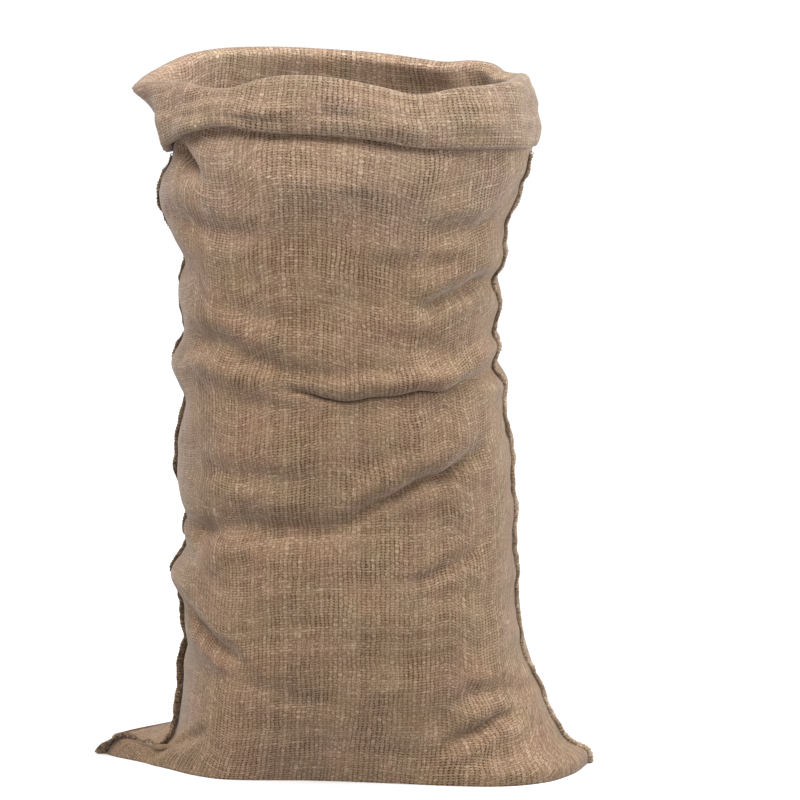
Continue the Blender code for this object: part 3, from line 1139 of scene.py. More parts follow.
@dataclass
class OverlockedEdge:
    """The cut edges of one side, pressed together and wrapped in overlock thread.

    Lengths are in mm.

    Attributes:
        name: The piece's name.
        route: Points of the cloth along the seam, from the ear's tip up.
        outward: Directions out of the cloth along the route.
        course: How the edge stands along its length, from the ear's tip up.
        width: Thickness of the edge.
        stitch: Distance from stitch to stitch.
        thread: Half thickness of the thread.
        lean: How far one stitch slants along the seam.
        uneven: How far one wave of the edge's unevenness changes its height.
        uneven_lengths: Lengths of those waves, which add up.
        sway: How far its free side sways across the seam.
        sway_length: Length of the sway's slow wave.
        tip_round: Length over which the edge is rounded off at the ear's tip.
        tip_blunt: How much of that rounding is left out, so that the tip is blunt.
        core_step: Distance between the sections of the pressed cloth edges.
        clear_of_floor: Least height over the floor.
        seed: Start of the random numbers.
    """

    name: str
    route: Array
    outward: Array
    course: SmoothTable
    width: float = 3.0
    stitch: float = 3.3
    thread: float = 0.52
    lean: float = 1.9
    uneven: float = 0.35
    uneven_lengths: tuple[float, ...] = (19.0, 31.0, 53.0)
    sway: float = 1.8
    sway_length: float = 61.0
    tip_round: float = 4.5
    tip_blunt: float = 1.0
    core_step: float = 2.0
    clear_of_floor: float = 0.2
    seed: int = 8

    # Half of the edge's section: share of its height, and of its width
    SECTION = ((0.0, 0.10), (0.25, 0.36), (0.6, 0.5), (0.9, 0.42), (1.0, 0.2))
    # The sway's quick wave: its rate and its height as shares of the slow one's
    QUICK_RATE = 2.6
    QUICK_SHARE = 0.5
    # Half thickness of a turn of thread that is 2 across
    LOOP = 0.2
    # How far the thread's middle lies outside the edge, in its half thickness
    PROUD = 0.6
    # Factors on a stitch's slant, and how far it strays out and along
    SLANTS = (0.8, 1.25)
    STRAY_OUT = (-0.2, 0.2)
    STRAY_ALONG = (-0.4, 0.4)

    def frames(self, step: float) -> tuple[Array, Array, Array, Array, Array]:
        """Places along the seam at even steps.

        Args:
            step: Distance from place to place in mm.

        Returns:
            The distances along the seam, the points, and the directions along it,
            out of the cloth and across it.
        """
        both = np.concatenate([self.route, self.outward], axis=1)
        run = np.linalg.norm(np.diff(self.route, axis=0), axis=1)
        run = np.concatenate([[0.0], np.cumsum(run)])
        at = np.linspace(0.0, run[-1], int(run[-1] / step) + 1)
        even = np.stack([np.interp(at, run, column) for column in both.T], axis=1)
        point, out = even[:, :3], even[:, 3:]
        along = np.gradient(point, axis=0)
        along /= np.linalg.norm(along, axis=1, keepdims=True)
        out /= np.linalg.norm(out, axis=1, keepdims=True)
        across = np.cross(along, out)
        across /= np.linalg.norm(across, axis=1, keepdims=True)
        return at, point, along, out, across

    def reach(self, at: Array) -> Array:
        """Height of the edge, uneven and rounded off at the ear's tip.

        Args:
            at: Distances along the seam in mm.

        Returns:
            The height at each distance, in mm.
        """
        draw = np.random.default_rng(self.seed)
        uneven = sum(
            np.sin(at / length * math.tau + draw.uniform(0.0, math.tau)) * self.uneven
            for length in self.uneven_lengths
        )
        left = np.clip(1.0 - (at + self.tip_blunt) / self.tip_round, 0.0, 1.0)
        return (self.course.read(1, at) + uneven) * np.sqrt(1.0 - left**2)

    def sideways(self, at: Array) -> Array:
        """How far the edge's free side leans and sways across the seam.

        Args:
            at: Distances along the seam in mm.

        Returns:
            How far it is from standing straight at each distance, in mm.
        """
        draw = np.random.default_rng(self.seed + 1)
        first, second = draw.uniform(0.0, math.tau, 2)
        slow = np.sin(at / self.sway_length * math.tau + first)
        quick = np.sin(at / self.sway_length * self.QUICK_RATE * math.tau + second)
        return self.course.read(2, at) + self.sway * (slow + self.QUICK_SHARE * quick)

    def core(self) -> tuple[Array, list[list[int]]]:
        """Shape the pressed cloth edges as one closed strip.

        Returns:
            Its points in mm and its faces.
        """
        at, point, _, out, across = self.frames(self.core_step)
        tall, side = self.reach(at)[:, None], self.sideways(at)[:, None]
        left = [(share, -half) for share, half in self.SECTION]
        ring = [*left, *((share, half) for share, half in reversed(self.SECTION))]
        rings = [
            point + out * (share * tall) + across * (half * self.width + side * share)
            for share, half in ring
        ]
        verts = np.stack(rings, axis=1)
        count, sides = verts.shape[:2]
        grid = np.arange(count * sides).reshape(count, sides)
        faces = [
            [grid[row, k], grid[row, (k + 1) % sides], grid[row + 1, (k + 1) % sides], grid[row + 1, k]]
            for row in range(count - 1)
            for k in range(sides)
        ]
        faces += [list(grid[0][::-1]), list(grid[-1])]
        return verts.reshape(-1, 3), [[int(corner) for corner in face] for face in faces]

    def unit_loop(self) -> tuple[Array, list[list[int]]]:
        """Model one turn of thread, 2 across.

        Returns:
            Its points and its faces.
        """
        bpy.ops.object.select_all(action="DESELECT")
        bpy.ops.mesh.primitive_torus_add(
            major_segments=10, minor_segments=4, major_radius=1.0, minor_radius=self.LOOP
        )
        loop = bpy.context.active_object
        verts = np.array([vert.co for vert in loop.data.vertices])
        faces = [list(face.vertices) for face in loop.data.polygons]
        bpy.data.objects.remove(loop)
        return verts, faces

    def wraps(self) -> tuple[Array, list[list[int]]]:
        """Wrap the edge in stitches, each a turn of thread fitted round it.

        Returns:
            Their points in mm and their faces.
        """
        loop, loop_faces = self.unit_loop()
        ring = np.stack([loop[:, 0], loop[:, 1]], axis=1)
        radius = np.linalg.norm(ring, axis=1, keepdims=True)
        spoke = ring / radius
        swell = (radius - 1.0) / self.LOOP * self.thread
        thick = loop[:, 2:3] / self.LOOP * self.thread
        at, point, along, out, across = self.frames(self.stitch)
        draw = np.random.default_rng(self.seed + 2)
        verts, faces = [], []
        for index in range(len(at)):
            tall = self.reach(at[index : index + 1])[0]
            side = self.sideways(at[index : index + 1])[0]
            half_tall = tall / 2 + self.thread * self.PROUD
            half_wide = self.width / 2 + self.thread * self.PROUD
            slant = self.lean * draw.uniform(*self.SLANTS)
            up = spoke[:, 1:] * (half_tall + swell)
            wide = spoke[:, :1] * (half_wide + swell)
            share = np.clip(0.5 + up / tall, 0.0, 1.0)
            place = (
                point[index]
                + out[index] * (tall / 2 + up + draw.uniform(*self.STRAY_OUT))
                + across[index] * (wide + side * share)
                + along[index] * (thick + slant * spoke[:, :1] + draw.uniform(*self.STRAY_ALONG))
            )
            faces += [[corner + len(loop) * index for corner in face] for face in loop_faces]
            verts.append(place)
        return np.concatenate(verts), faces

    def build(self) -> bpy.types.Object:
        """Model the edge with its thread.

        Returns:
            The edge's object.
        """
        core, core_faces = self.core()
        wraps, wrap_faces = self.wraps()
        moved = [[corner + len(core) for corner in face] for face in wrap_faces]
        verts = np.concatenate([core, wraps])
        verts[:, 2] = np.maximum(verts[:, 2], self.clear_of_floor)
        return mesh_object(self.name, verts, core_faces + moved)


# ---------------------------------------------------------------------------
# Finishes
# ---------------------------------------------------------------------------


def add_node(
    tree: bpy.types.NodeTree, kind: str, inputs: dict | None = None, **settings: object
) -> bpy.types.Node:
    """Add a node with its settings and links.

    Args:
        tree: The node tree.
        kind: The node's type, without the ShaderNode that it starts with.
        inputs: By name or number of an input, its value, the output socket that feeds
            it, or the node whose first output does.
        settings: The node's own properties.

    Returns:
        The new node.
    """
    node = tree.nodes.new("ShaderNode" + kind)
    for name, value in settings.items():
        setattr(node, name, value)
    for name, value in (inputs or {}).items():
        if isinstance(value, bpy.types.Node):
            value = value.outputs[0]
        if isinstance(value, bpy.types.NodeSocket):
            tree.links.new(value, node.inputs[name])
        else:
            node.inputs[name].default_value = value
    return node


def set_stops(ramp: bpy.types.ColorRamp, stops: Iterable[tuple[float, Colour]]) -> None:
    """Give a new colour ramp its stops.

    Args:
        ramp: The ramp, with the two stops that it is made with.
        stops: Place and colour of each stop, in the order of their places.
    """
    for index, (place, colour) in enumerate(stops):
        stop = ramp.elements[index] if index < 2 else ramp.elements.new(place)
        stop.position = place
        stop.color = colour


def new_material(
    name: str, values: dict[str, float | Colour]
) -> tuple[bpy.types.Material, bpy.types.Node]:
    """Make a material with one Principled shader.

    Args:
        name: The material's name.
        values: The shader's own values by the names of its inputs.

    Returns:
        The material and its shader.
    """
    material = bpy.data.materials.new(name)
    material.use_nodes = True
    shader = material.node_tree.nodes["Principled BSDF"]
    for socket, value in values.items():
        shader.inputs[socket].default_value = value
    return material, shader


@dataclass(frozen=True)
class YarnSet:
    """One set of parallel yarns of the weave, with lengths in mm.

    Attributes:
        pitch: Distance from yarn to yarn.
        cover: Half width of a yarn as a share of the pitch.
        spread: How much that share varies from yarn to yarn and along each.
        wander: How far a yarn strays sideways, as a share of the pitch.
        seed: Where the yarns' random numbers start.
    """

    pitch: float
    cover: float
    spread: float
    wander: float
    seed: float


@dataclass(frozen=True)
class JuteWeave:
    """Natural jute hessian: a loose plain weave of uneven, matt, hairy yarn.

    The yarns are spun by machine from coarse bast fibre, so they change in thickness
    and tone every few centimetres and leave square holes that look dark.  Lengths are
    in mm along the cloth's threads, measured from the bottom fold where they run up.
    Cloth of this weight has four or five yarns in 10 mm each way.  That is too fine to
    show at the render's 1.1 mm a pixel, so both sets of yarns are drawn coarser, and so
    are the specks of fibre.

    Attributes:
        warp: The yarns that run up the sack.
        weft: The yarns that run round it.
        drift: How far the rows drift across the cloth and along it.
        drift_length: Over what length they do.
        stray_length: Length of a yarn over which it strays sideways.
        swell_length: Length from one thick place of a yarn to the next.
        swell_width: Share of those thick places in a yarn's width; its own is the rest.
        swell_tone: Their share in its tone.
        swells: Values of the noise at which a yarn is at its thinnest and thickest.
        slubs: Values of the noise between which a thick place becomes a slub.
        slub_tone: How much paler a slub is.
        soft_side: How far in and out a yarn's side is blurred, in pitches.
        soft_top: Difference in height over which one yarn gives way to the other.
        patch_length: Size of the patches where the cloth is closed up or pulled open.
        patches: Values of the noise at which a patch is pulled open and closed up.
        press: How much wider a yarn is where the cloth is closed up, in pitches.
        seam_pull: Distances from a seam at which its stitches start to pull the cloth
            shut, and have done so.
        seam_press: How closely they press it together.
        weave: Middle height of a yarn, and how far it goes over and under.
        yarn_round: How fast a yarn's top falls away to its sides.
        speck: Width of the specks of fibre.
        speck_share: Share of the specks in a yarn's tone.
        hue_length: Size of the faint pinkish and greenish patches of the raw fibre.
        hue: Share of those patches in the colour.
        crest: Factors from a yarn's sides to its crown: painted shade and painted highlight.
        crest_heights: Heights of the weave at which those are.
        hole_heights: Heights at which the weave shows a hole, and none.
        dark_yarn: Colour of the darkest yarn.
        mid_yarn: Colour of most yarn.
        pale_yarn: Colour of the palest yarn.
        stops: Tones at which those three colours stand.
        hole: Colour in the holes and low between the yarns: painted shade.
        soiled: Factors on the colour where the bottom is trodden on and dragged.
        soiled_to: Distances up the cloth over which that ends.
        neck: Factors at the top of the outer side: painted light, as it catches more light.
        neck_from: Distances up the cloth over which that starts.
        turned_out: Factors on the cuff and inside the mouth: painted light, paler there.
        inside: Further factors inside the mouth: painted light on the wall in its shade.
        panel_width: Width of the cloth between the seams.
        panel_pitch: Distance from one panel to the next on the UV map.
        roughness: Roughness of the yarn.
        specular: Strength of its shine.
        sheen: Strength of the light caught by its loose fibres.
        fuzz: Roughness of those fibres.
        bump: Strength of the weave's relief.
        relief: Depth of that relief.
    """

    warp: YarnSet = YarnSet(pitch=5.0, cover=0.41, spread=0.12, wander=0.36, seed=11.0)
    weft: YarnSet = YarnSet(pitch=3.0, cover=0.33, spread=0.14, wander=0.22, seed=57.0)
    drift: tuple[float, float] = (6.5, 5.5)
    drift_length: float = 70.0
    stray_length: float = 13.0
    swell_length: float = 16.0
    swell_width: float = 0.6
    swell_tone: float = 0.75
    swells: tuple[float, float] = (0.2, 0.8)
    slubs: tuple[float, float] = (0.60, 0.72)
    slub_tone: float = 0.05
    soft_side: tuple[float, float] = (0.05, 0.07)
    soft_top: float = 0.06
    patch_length: float = 42.0
    patches: tuple[float, float] = (0.35, 0.65)
    press: float = 0.06
    seam_pull: tuple[float, float] = (70.0, 6.0)
    seam_press: float = 2.2
    weave: tuple[float, float] = (0.55, 0.30)
    yarn_round: float = 1.6
    speck: float = 1.6
    speck_share: float = 0.6
    hue_length: float = 45.0
    hue: float = 0.11
    crest: tuple[float, float] = (0.88, 1.12)
    crest_heights: tuple[float, float] = (0.35, 0.85)
    hole_heights: tuple[float, float] = (0.02, 0.42)
    dark_yarn: str = "65503d"
    mid_yarn: str = "90755c"
    pale_yarn: str = "c0a98f"
    stops: tuple[float, float, float] = (0.28, 0.5, 0.78)
    hole: str = "412d1b"
    soiled: Tint = (0.88, 0.87, 0.86)
    soiled_to: tuple[float, float] = (40.0, 190.0)
    neck: Tint = (1.16, 1.20, 1.30)
    neck_from: tuple[float, float] = (735.0, 815.0)
    turned_out: Tint = (1.12, 1.18, 1.28)
    inside: Tint = (1.45, 1.46, 1.48)
    panel_width: float = 576.0
    panel_pitch: float = 616.0
    roughness: float = 0.92
    specular: float = 0.1
    sheen: float = 0.23
    fuzz: float = 0.42
    bump: float = 0.35
    relief: float = 0.6

    # Distance from yarn to yarn in the noise that makes their thick places
    APART = 7.31

    def coordinates(self, tree: bpy.types.NodeTree) -> tuple[Source, Source, Source]:
        """Cloth coordinates in mm, with the slow drift of the yarns.

        Args:
            tree: The node tree.

        Returns:
            The place across the warp with the drift, along it with the drift, and both
            as a vector without it.
        """
        threads = add_node(tree, "UVMap", uv_map="threads")
        place = add_node(tree, "VectorMath", {0: threads, "Scale": 1.0 / MM}, operation="SCALE")
        values = {"Vector": place, "Scale": 1.0 / self.drift_length, "Detail": 2.0, "Roughness": 0.55}
        drift = add_node(tree, "TexNoise", values, noise_dimensions="2D").outputs["Color"]
        values = {0: drift, 1: (0.5, 0.5, 0.5)}
        centred = add_node(tree, "VectorMath", values, operation="SUBTRACT")
        values = {0: centred, 1: (*self.drift, 0.0), 2: place}
        moved = add_node(tree, "VectorMath", values, operation="MULTIPLY_ADD")
        parts = add_node(tree, "SeparateXYZ", {0: moved})
        return parts.outputs[0], parts.outputs[1], place

    def openness(self, tree: bpy.types.NodeTree, across: Source, place: Source) -> Source:
        """How closely the cloth is pressed together, about -1 to 1, more at a seam.

        Args:
            tree: The node tree.
            across: The place across the warp in mm.
            place: The place on the cloth in mm, as a vector.

        Returns:
            The node with the sum.
        """
        values = {"Vector": place, "Scale": 1.0 / self.patch_length, "Detail": 3.0, "Roughness": 0.6}
        patch = add_node(tree, "TexNoise", values, noise_dimensions="2D")
        values = {0: patch, 1: self.patches[0], 2: self.patches[1], 3: -1.0, 4: 1.0}
        shut = add_node(tree, "MapRange", values, clamp=False)
        half = self.panel_width / 2
        values = {0: across, 1: self.panel_pitch}
        within = add_node(tree, "Math", values, operation="FLOORED_MODULO")
        off = add_node(tree, "Math", {0: within, 1: half}, operation="SUBTRACT")
        off = add_node(tree, "Math", {0: off}, operation="ABSOLUTE")
        values = {0: off, 1: half - self.seam_pull[0], 2: half - self.seam_pull[1], 4: self.seam_press}
        beside = add_node(tree, "MapRange", values, interpolation_type="SMOOTHSTEP")
        return add_node(tree, "Math", {0: shut, 1: beside}, operation="ADD")

    def yarns(
        self, tree: bpy.types.NodeTree, kind: YarnSet, across: Source, along: Source, shut: Source
    ) -> dict[str, Source]:
        """Nodes of one set of yarns.

        Args:
            tree: The node tree.
            kind: The set's sizes.
            across: The place across the yarns, in mm.
            along: The place along them, in mm.
            shut: How closely the cloth is pressed together, about -1 to 1.

        Returns:
            The number of the yarn, the place across it from -0.5 to 0.5, how far it
            covers that place, its tone and how much of a slub it is there.
        """
        count = add_node(tree, "Math", {0: across, 1: 1.0 / kind.pitch}, operation="MULTIPLY")
        stray_at = add_node(tree, "CombineXYZ", {0: across, 1: along, 2: kind.seed})
        # The noise runs from 0 to 1, so twice the wander strays that far to either side
        values = {"Vector": stray_at, "Scale": 1.0 / self.stray_length, "Detail": 2.0}
        stray = add_node(tree, "TexNoise", values, noise_dimensions="3D")
        values = {0: stray, 1: kind.wander * 2.0, 2: count}
        stray = add_node(tree, "Math", values, operation="MULTIPLY_ADD")
        index = add_node(tree, "Math", {0: stray}, operation="FLOOR")
        share = add_node(tree, "Math", {0: stray}, operation="FRACT")
        local = add_node(tree, "Math", {0: share, 1: 0.5}, operation="SUBTRACT")
        seeded = add_node(tree, "Math", {0: index, 1: kind.seed}, operation="ADD")
        own = add_node(tree, "TexWhiteNoise", {"W": seeded}, noise_dimensions="1D")
        # Thick and thin places along each yarn; neighbours lie far apart in the noise
        far = add_node(tree, "Math", {0: seeded, 1: self.APART}, operation="MULTIPLY")
        reach = add_node(tree, "Math", {0: along, 1: 1.0 / self.swell_length}, operation="MULTIPLY")
        swell_at = add_node(tree, "CombineXYZ", {0: far, 1: reach})
        values = {"Vector": swell_at, "Scale": 1.0, "Detail": 3.0, "Roughness": 0.65}
        swell = add_node(tree, "TexNoise", values, noise_dimensions="2D")
        values = {0: swell, 1: self.slubs[0], 2: self.slubs[1]}
        slub = add_node(tree, "MapRange", values, interpolation_type="SMOOTHSTEP")
        values = {0: self.swell_width, 2: own, 3: swell}
        mixed = add_node(tree, "Mix", values, data_type="FLOAT")
        values = {
            0: mixed,
            1: self.swells[0],
            2: self.swells[1],
            3: kind.cover - kind.spread / 2,
            4: kind.cover + kind.spread / 2,
        }
        width = add_node(tree, "MapRange", values, clamp=False)
        values = {0: shut, 1: self.press, 2: width}
        width = add_node(tree, "Math", values, operation="MULTIPLY_ADD")
        side = add_node(tree, "Math", {0: local}, operation="ABSOLUTE")
        beyond = add_node(tree, "Math", {0: side, 1: width}, operation="SUBTRACT")
        values = {0: beyond, 1: -self.soft_side[0], 2: self.soft_side[1], 3: 1.0, 4: 0.0}
        cover = add_node(tree, "MapRange", values, interpolation_type="SMOOTHSTEP")
        values = {0: self.swell_tone, 2: own, 3: swell}
        tone = add_node(tree, "Mix", values, data_type="FLOAT")
        return {"index": index, "local": local, "cover": cover, "tone": tone, "slub": slub}

    def interlace(
        self, tree: bpy.types.NodeTree, warp: dict[str, Source], weft: dict[str, Source]
    ) -> tuple[Source, Source]:
        """Lay the yarns over and under each other.

        Args:
            tree: The node tree.
            warp: Nodes of the warp.
            weft: Nodes of the weft.

        Returns:
            How far the warp is on top, from 0 to 1, and the height of the yarn on top.
        """
        # The warp is on top where the sum of the yarns' numbers is even
        total = add_node(tree, "Math", {0: warp["index"], 1: weft["index"]}, operation="ADD")
        parity = add_node(tree, "Math", {0: total, 1: 2.0}, operation="FLOORED_MODULO")
        sign = add_node(tree, "MapRange", {0: parity, 3: 1.0, 4: -1.0})
        middle, swing = self.weave
        heights = []
        for own, other, way in ((warp, weft, 1.0), (weft, warp, -1.0)):
            turned = add_node(tree, "Math", {0: other["local"], 1: math.pi}, operation="MULTIPLY")
            wave = add_node(tree, "Math", {0: turned}, operation="COSINE")
            lift = add_node(tree, "Math", {0: wave, 1: sign}, operation="MULTIPLY")
            values = {0: lift, 1: swing * way, 2: middle}
            lift = add_node(tree, "Math", values, operation="MULTIPLY_ADD")
            square = add_node(tree, "Math", {0: own["local"], 1: own["local"]}, operation="MULTIPLY")
            values = {0: square, 1: -self.yarn_round, 2: lift}
            top = add_node(tree, "Math", values, operation="MULTIPLY_ADD")
            heights.append(add_node(tree, "Math", {0: top, 1: own["cover"]}, operation="MULTIPLY"))
        both = dict(enumerate(heights))
        above = add_node(tree, "Math", both, operation="SUBTRACT")
        values = {0: above, 1: -self.soft_top, 2: self.soft_top}
        warp_on_top = add_node(tree, "MapRange", values, interpolation_type="SMOOTHSTEP")
        return warp_on_top, add_node(tree, "Math", both, operation="MAXIMUM")

    def yarn_colour(
        self, tree: bpy.types.NodeTree, tone: Source, slub: Source, place: Source
    ) -> bpy.types.NodeSocket:
        """Colour of the yarn on top, with its fibres.

        Args:
            tree: The node tree.
            tone: Tone of the yarn, from 0 dark to 1 pale.
            slub: How much of a slub it is there.
            place: The place on the cloth in mm, as a vector.

        Returns:
            The colour.
        """
        values = {"Vector": place, "Scale": 1.0 / self.speck, "Detail": 2.0}
        specks = add_node(tree, "TexNoise", values, noise_dimensions="2D")
        tone = add_node(tree, "Mix", {0: self.speck_share, 2: tone, 3: specks}, data_type="FLOAT")
        values = {0: slub, 1: self.slub_tone, 2: tone}
        tone = add_node(tree, "Math", values, operation="MULTIPLY_ADD")
        ramp = add_node(tree, "ValToRGB", {0: tone})
        yarns = (linear(colour) for colour in (self.dark_yarn, self.mid_yarn, self.pale_yarn))
        set_stops(ramp.color_ramp, zip(self.stops, yarns))
        solid = add_node(tree, "TexCoord").outputs["Object"]
        values = {"Vector": solid, "Scale": 1.0 / (self.hue_length * MM), "Detail": 3.0}
        hues = add_node(tree, "TexNoise", values, noise_dimensions="3D").outputs["Color"]
        values = {0: self.hue, 6: ramp, 7: hues}
        mixed = add_node(tree, "Mix", values, data_type="RGBA", blend_type="SOFT_LIGHT")
        return mixed.outputs[2]

    def soil_and_painted_light(
        self, tree: bpy.types.NodeTree, colour: bpy.types.NodeSocket, along: Source
    ) -> bpy.types.NodeSocket:
        """Tint the cloth by where it lies: soiled low down, with painted light higher up.

        Args:
            tree: The node tree.
            colour: Colour of the new cloth.
            along: The place up the cloth in mm.

        Returns:
            The tinted colour.
        """
        values = {0: along, 1: self.soiled_to[0], 2: self.soiled_to[1], 3: 1.0, 4: 0.0}
        soil = add_node(tree, "MapRange", values, interpolation_type="SMOOTHSTEP")
        # The attribute is 0 on the outer side, 1 inside the mouth and 2 on the cuff
        side = add_node(tree, "Attribute", attribute_name="side").outputs["Fac"]
        # Painted light: where the inner side shows, on the cuff and in the mouth, it is made paler
        turned = add_node(tree, "MapRange", {0: side})
        outer = add_node(tree, "MapRange", {0: turned, 3: 1.0, 4: 0.0})
        # Painted light: the top of the outer side is made paler, where more light falls on it
        values = {0: along, 1: self.neck_from[0], 2: self.neck_from[1], 4: outer}
        painted_top_light = add_node(tree, "MapRange", values, interpolation_type="SMOOTHSTEP")
        # Painted light inside the mouth, on the wall that lies in its shade
        painted_mouth_light = add_node(tree, "MapRange", {0: side, 1: 1.0, 2: 2.0, 3: turned, 4: 0.0})
        # Soil at the bottom, then painted light at the top, on the cuff and inside the mouth
        for share, tint in (
            (soil, self.soiled),
            (painted_top_light, self.neck),
            (turned, self.turned_out),
            (painted_mouth_light, self.inside),
        ):
            values = {0: share, 6: colour, 7: (*tint, 1.0)}
            colour = add_node(
                tree, "Mix", values, data_type="RGBA", blend_type="MULTIPLY"
            ).outputs[2]
        return colour

    def build(self) -> bpy.types.Material:
        """Make the material.

        Returns:
            The material.
        """
        values = {
            "Roughness": self.roughness,
            "Specular IOR Level": self.specular,
            "Sheen Weight": self.sheen,
            "Sheen Roughness": self.fuzz,
        }
        material, shader = new_material("woven_jute_hessian", values)
        tree = material.node_tree
        across, along, place = self.coordinates(tree)
        shut = self.openness(tree, across, place)
        warp = self.yarns(tree, self.warp, across, along, shut)
        weft = self.yarns(tree, self.weft, along, across, shut)
        on_top, height = self.interlace(tree, warp, weft)
        tone, slub = (
            add_node(tree, "Mix", {0: on_top, 2: weft[key], 3: warp[key]}, data_type="FLOAT")
            for key in ("tone", "slub")
        )
        yarn = self.yarn_colour(tree, tone, slub, place)
        # Painted highlight on the crown of each yarn, and painted shade on its sides
        sides, crest = self.crest_heights
        values = {0: height, 1: sides, 2: crest, 3: self.crest[0], 4: self.crest[1]}
        crown = add_node(tree, "MapRange", values)
        yarn = add_node(tree, "VectorMath", {0: yarn, "Scale": crown}, operation="SCALE")
        # Painted shade: the holes and the low places between the yarns are darkened
        deep, shallow = self.hole_heights
        values = {0: height, 1: deep, 2: shallow, 3: 1.0, 4: 0.0}
        hole = add_node(tree, "MapRange", values, interpolation_type="SMOOTHSTEP")
        values = {0: hole, 6: yarn, 7: linear(self.hole)}
        colour = add_node(tree, "Mix", values, data_type="RGBA").outputs[2]
        colour = self.soil_and_painted_light(tree, colour, along)
        tree.links.new(colour, shader.inputs["Base Color"])
        values = {"Strength": self.bump, "Distance": self.relief * MM, "Height": height}
        bump = add_node(tree, "Bump", values)
        tree.links.new(bump.outputs[0], shader.inputs["Normal"])
        return material


@dataclass(frozen=True)
class OverlockThread:
    """Spun polyester overlock thread over frayed jute: dull, brown and uneven.

    The thread is dyed to the cloth and a little darker; fluff and frayed jute ends
    show between its turns as paler specks.

    Attributes:
        name: The material's name.
        dark: Colour of the thread's darkest specks: painted shade of its hollows.
        mid: Colour of most of it.
        pale: Colour of the frayed ends.
        stops: Tones at which those three colours stand.
        speck: Size of the specks in mm.
        roughness: Roughness of the thread.
        specular: Strength of its shine.
        sheen: Strength of the light caught by its fluff.
        bump: Strength of its relief.
        relief: Depth of that relief in mm.
    """

    name: str
    dark: str
    mid: str
    pale: str
    stops: tuple[float, float, float] = (0.34, 0.5, 0.68)
    speck: float = 2.6
    roughness: float = 0.85
    specular: float = 0.25
    sheen: float = 0.2
    bump: float = 0.4
    relief: float = 0.3

    def build(self) -> bpy.types.Material:
        """Make the material.

        Returns:
            The material.
        """
        values = {
            "Roughness": self.roughness,
            "Specular IOR Level": self.specular,
            "Sheen Weight": self.sheen,
        }
        material, shader = new_material(self.name, values)
        tree = material.node_tree
        solid = add_node(tree, "TexCoord").outputs["Object"]
        scale = 1.0 / (self.speck * MM)
        values = {"Vector": solid, "Scale": scale, "Detail": 3.0, "Roughness": 0.6}
        specks = add_node(tree, "TexNoise", values)
        ramp = add_node(tree, "ValToRGB", {0: specks})
        colours = (linear(colour) for colour in (self.dark, self.mid, self.pale))
        set_stops(ramp.color_ramp, zip(self.stops, colours))
        tree.links.new(ramp.outputs[0], shader.inputs["Base Color"])
        values = {"Strength": self.bump, "Distance": self.relief * MM, "Height": specks}
        bump = add_node(tree, "Bump", values)
        tree.links.new(bump.outputs[0], shader.inputs["Normal"])
        return material


# By side, the edge's course (its height and how far forwards it leans) and its thread.
# The left edge leans forwards low down and shows its brown thread. The two threads are
# one thread: on the left with painted shade, on the right with painted light.
SEWN_SIDES = {
    "left": (
        SmoothTable((
            # distance, height, forward
            (0, 14.0, 0.0),
            (12, 11.0, 0.0),
            (26, 7.0, 1.0),
            (70, 6.5, 2.0),
            (130, 7.5, 4.5),
            (210, 7.5, 4.5),
            (290, 5.5, 1.0),
            (450, 4.8, 0.0),
            (640, 4.4, 0.0),
            (760, 3.6, 0.0),
        )),
        # The thread darkened with painted shade, on the side away from the light
        OverlockThread("overlock_thread_painted_shade", dark="33261a", mid="6f5943", pale="a08a70"),
    ),
    "right": (
        SmoothTable((
            # distance, height, forward
            (0, 5.0, 0.0),
            (30, 4.4, 0.0),
            (400, 4.2, 0.0),
            (760, 3.8, 0.0),
        )),
        # The same thread made paler with painted light, where the right-hand lamp falls on it
        OverlockThread("overlock_thread_painted_light", dark="7d6752", mid="a89179", pale="cfbba3"),
    ),
}


# ---------------------------------------------------------------------------
# Studio
# ---------------------------------------------------------------------------


@dataclass(frozen=True)
class SoftBox:
    """A square light that looks at the sack.

    Attributes:
        place: Where it hangs, in metres.
        aim: What it looks at, in metres.
        side: Length of its side in metres.
        power: Its power in watts.
        colour: Its colour.
    """

    place: tuple[float, float, float]
    aim: tuple[float, float, float]
    side: float
    power: float
    colour: tuple[float, float, float] = (1.0, 1.0, 1.0)


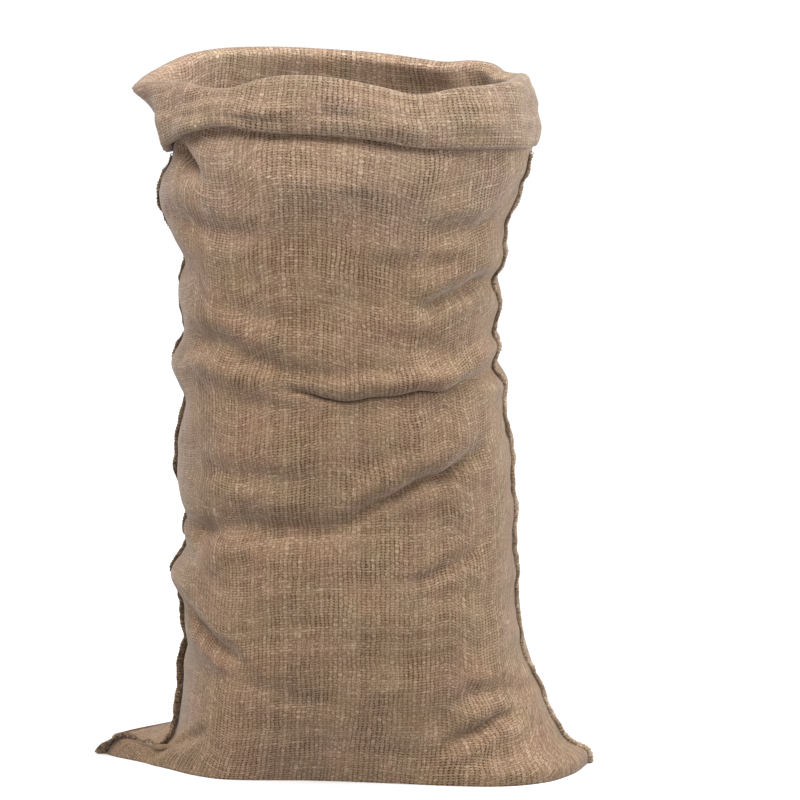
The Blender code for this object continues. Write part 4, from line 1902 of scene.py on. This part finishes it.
@dataclass
class Studio:
    """A pale floor, soft light from all round and the camera at the photograph's angle.

    Attributes:
        floor_size: Side of the floor in metres.
        floor_colour: Colour of the floor.
        sky: Light of the room by height, from -1 straight down to 1 straight up.
        sun_strength: Strength of the main light.
        sun_tilt: How far it is turned about X, Y and Z from shining straight down.
        sun_softness: How wide it looks from the sack, in degrees.
        boxes: The square lights.
        camera_turn: How far round the sack the camera stands, in degrees.
        camera_distance: How far away it stands, in metres.
        camera_height: How high it stands, in metres.
        camera_side: How far it is moved to its right, in metres.
        aim_height: Height in metres at which it is aimed over the origin.
        lens: Its focal length in mm.
        sight: How far it sees, in metres.
    """

    floor_size: float = 80.0
    floor_colour: str = "f4f4f4"
    sky: tuple[tuple[float, float, float, float], ...] = (
        # height, red, green, blue
        (-1.0, 0.88, 0.90, 1.00),
        (0.0, 0.40, 0.40, 0.40),
        (1.0, 0.84, 0.84, 0.87),
    )
    sun_strength: float = 2.05
    sun_tilt: tuple[float, float, float] = (32.0, -8.0, 0.0)
    sun_softness: float = 45.0
    boxes: tuple[SoftBox, ...] = (
        SoftBox((2.6, 0.5, 1.3), (0.0, 0.0, 0.45), 1.7, 66.0, (0.92, 0.97, 1.0)),
        SoftBox((-2.6, 0.6, 1.4), (0.0, 0.0, 0.4), 1.8, 16.0),
        SoftBox((-0.2, -0.8, 1.6), (0.0, 0.0, 0.7), 0.5, 3.5),
    )
    camera_turn: float = 5.0
    camera_distance: float = 6.0
    camera_height: float = 1.36
    camera_side: float = 0.0594
    aim_height: float = 0.395
    lens: float = 250.0
    sight: float = 200.0

    def build(self) -> None:
        """Make the floor, the lights and the camera."""
        bpy.ops.object.select_all(action="DESELECT")
        bpy.ops.mesh.primitive_plane_add(size=self.floor_size)
        floor = bpy.context.active_object
        floor.name = "studio_floor"
        values = {
            "Base Color": linear(self.floor_colour),
            "Roughness": 0.9,
            "Specular IOR Level": 0.1,
        }
        floor.data.materials.append(new_material("matt_white_floor", values)[0])
        # The sack stands in a wide room: its own floor throws no light back on it
        floor.visible_diffuse = False
        bpy.context.scene.world = self.room_light()
        for box in self.boxes:
            bpy.ops.object.light_add(type="AREA", location=box.place)
            light = bpy.context.active_object
            light.data.size = box.side
            light.data.energy = box.power
            light.data.color = box.colour
            away = Vector(box.place) - Vector(box.aim)
            light.rotation_euler = away.to_track_quat("Z", "Y").to_euler()
        tilt = tuple(math.radians(angle) for angle in self.sun_tilt)
        bpy.ops.object.light_add(type="SUN", rotation=tilt)
        sun = bpy.context.active_object
        sun.data.energy = self.sun_strength
        sun.data.angle = math.radians(self.sun_softness)
        bpy.context.scene.view_settings.view_transform = "Standard"
        self.add_camera()

    def room_light(self) -> bpy.types.World:
        """Light the room evenly from above and below, and less from the sides.

        Returns:
            The world.
        """
        world = bpy.data.worlds.new("soft_room_light")
        world.use_nodes = True
        tree = world.node_tree
        way = add_node(tree, "TexCoord").outputs["Generated"]
        height = add_node(tree, "SeparateXYZ", {0: way}).outputs[2]
        share = add_node(tree, "MapRange", {0: height, 1: -1.0, 2: 1.0}).outputs[0]
        ramp = add_node(tree, "ValToRGB", {0: share})
        stops = [((place + 1.0) / 2.0, (*light, 1.0)) for place, *light in self.sky]
        set_stops(ramp.color_ramp, stops)
        tree.links.new(ramp.outputs[0], tree.nodes["Background"].inputs[0])
        return world

    def add_camera(self) -> None:
        """Stand the camera in front, a little to the right, looking slightly down."""
        turn = math.radians(self.camera_turn)
        right = Vector((math.cos(turn), math.sin(turn), 0.0))
        ahead = Vector((-math.sin(turn), math.cos(turn), 0.0))
        place = right * self.camera_side - ahead * self.camera_distance
        place.z = self.camera_height
        dip = math.atan2(self.camera_height - self.aim_height, self.camera_distance)
        bpy.ops.object.camera_add(
            location=place, rotation=(math.radians(90.0) - dip, 0.0, turn)
        )
        camera = bpy.context.active_object
        camera.data.lens = self.lens
        camera.data.clip_end = self.sight
        bpy.context.scene.camera = camera


def dress(
    piece: bpy.types.Object, node: str, material: bpy.types.Material
) -> None:
    """Give a piece its material and let it stand for a CAD node.

    Args:
        piece: The finished piece.
        node: The CAD node that it replaces.
        material: The material.
    """
    piece.data.materials.append(material)
    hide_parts(node)
    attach(piece, "root")
    LOG.info("%s: %d faces in %s", piece.name, len(piece.data.polygons), material.name)


def main() -> None:
    """Build the sack round the frame and report each piece."""
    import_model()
    cloth = SackCloth(SackForm())
    sack = cloth.build()
    dress(sack, "sack_cloth", JuteWeave().build())
    edges = []
    for side, (course, thread) in SEWN_SIDES.items():
        route, outward = cloth.seam_route(side == "left")
        edges.append(OverlockedEdge("overlock_" + side, route, outward, course).build())
        dress(edges[-1], "seam_" + side, thread.build())
    Studio().build()


if __name__ == "__main__":
    logging.basicConfig(level=logging.INFO, format="%(name)s: %(message)s")
    main()
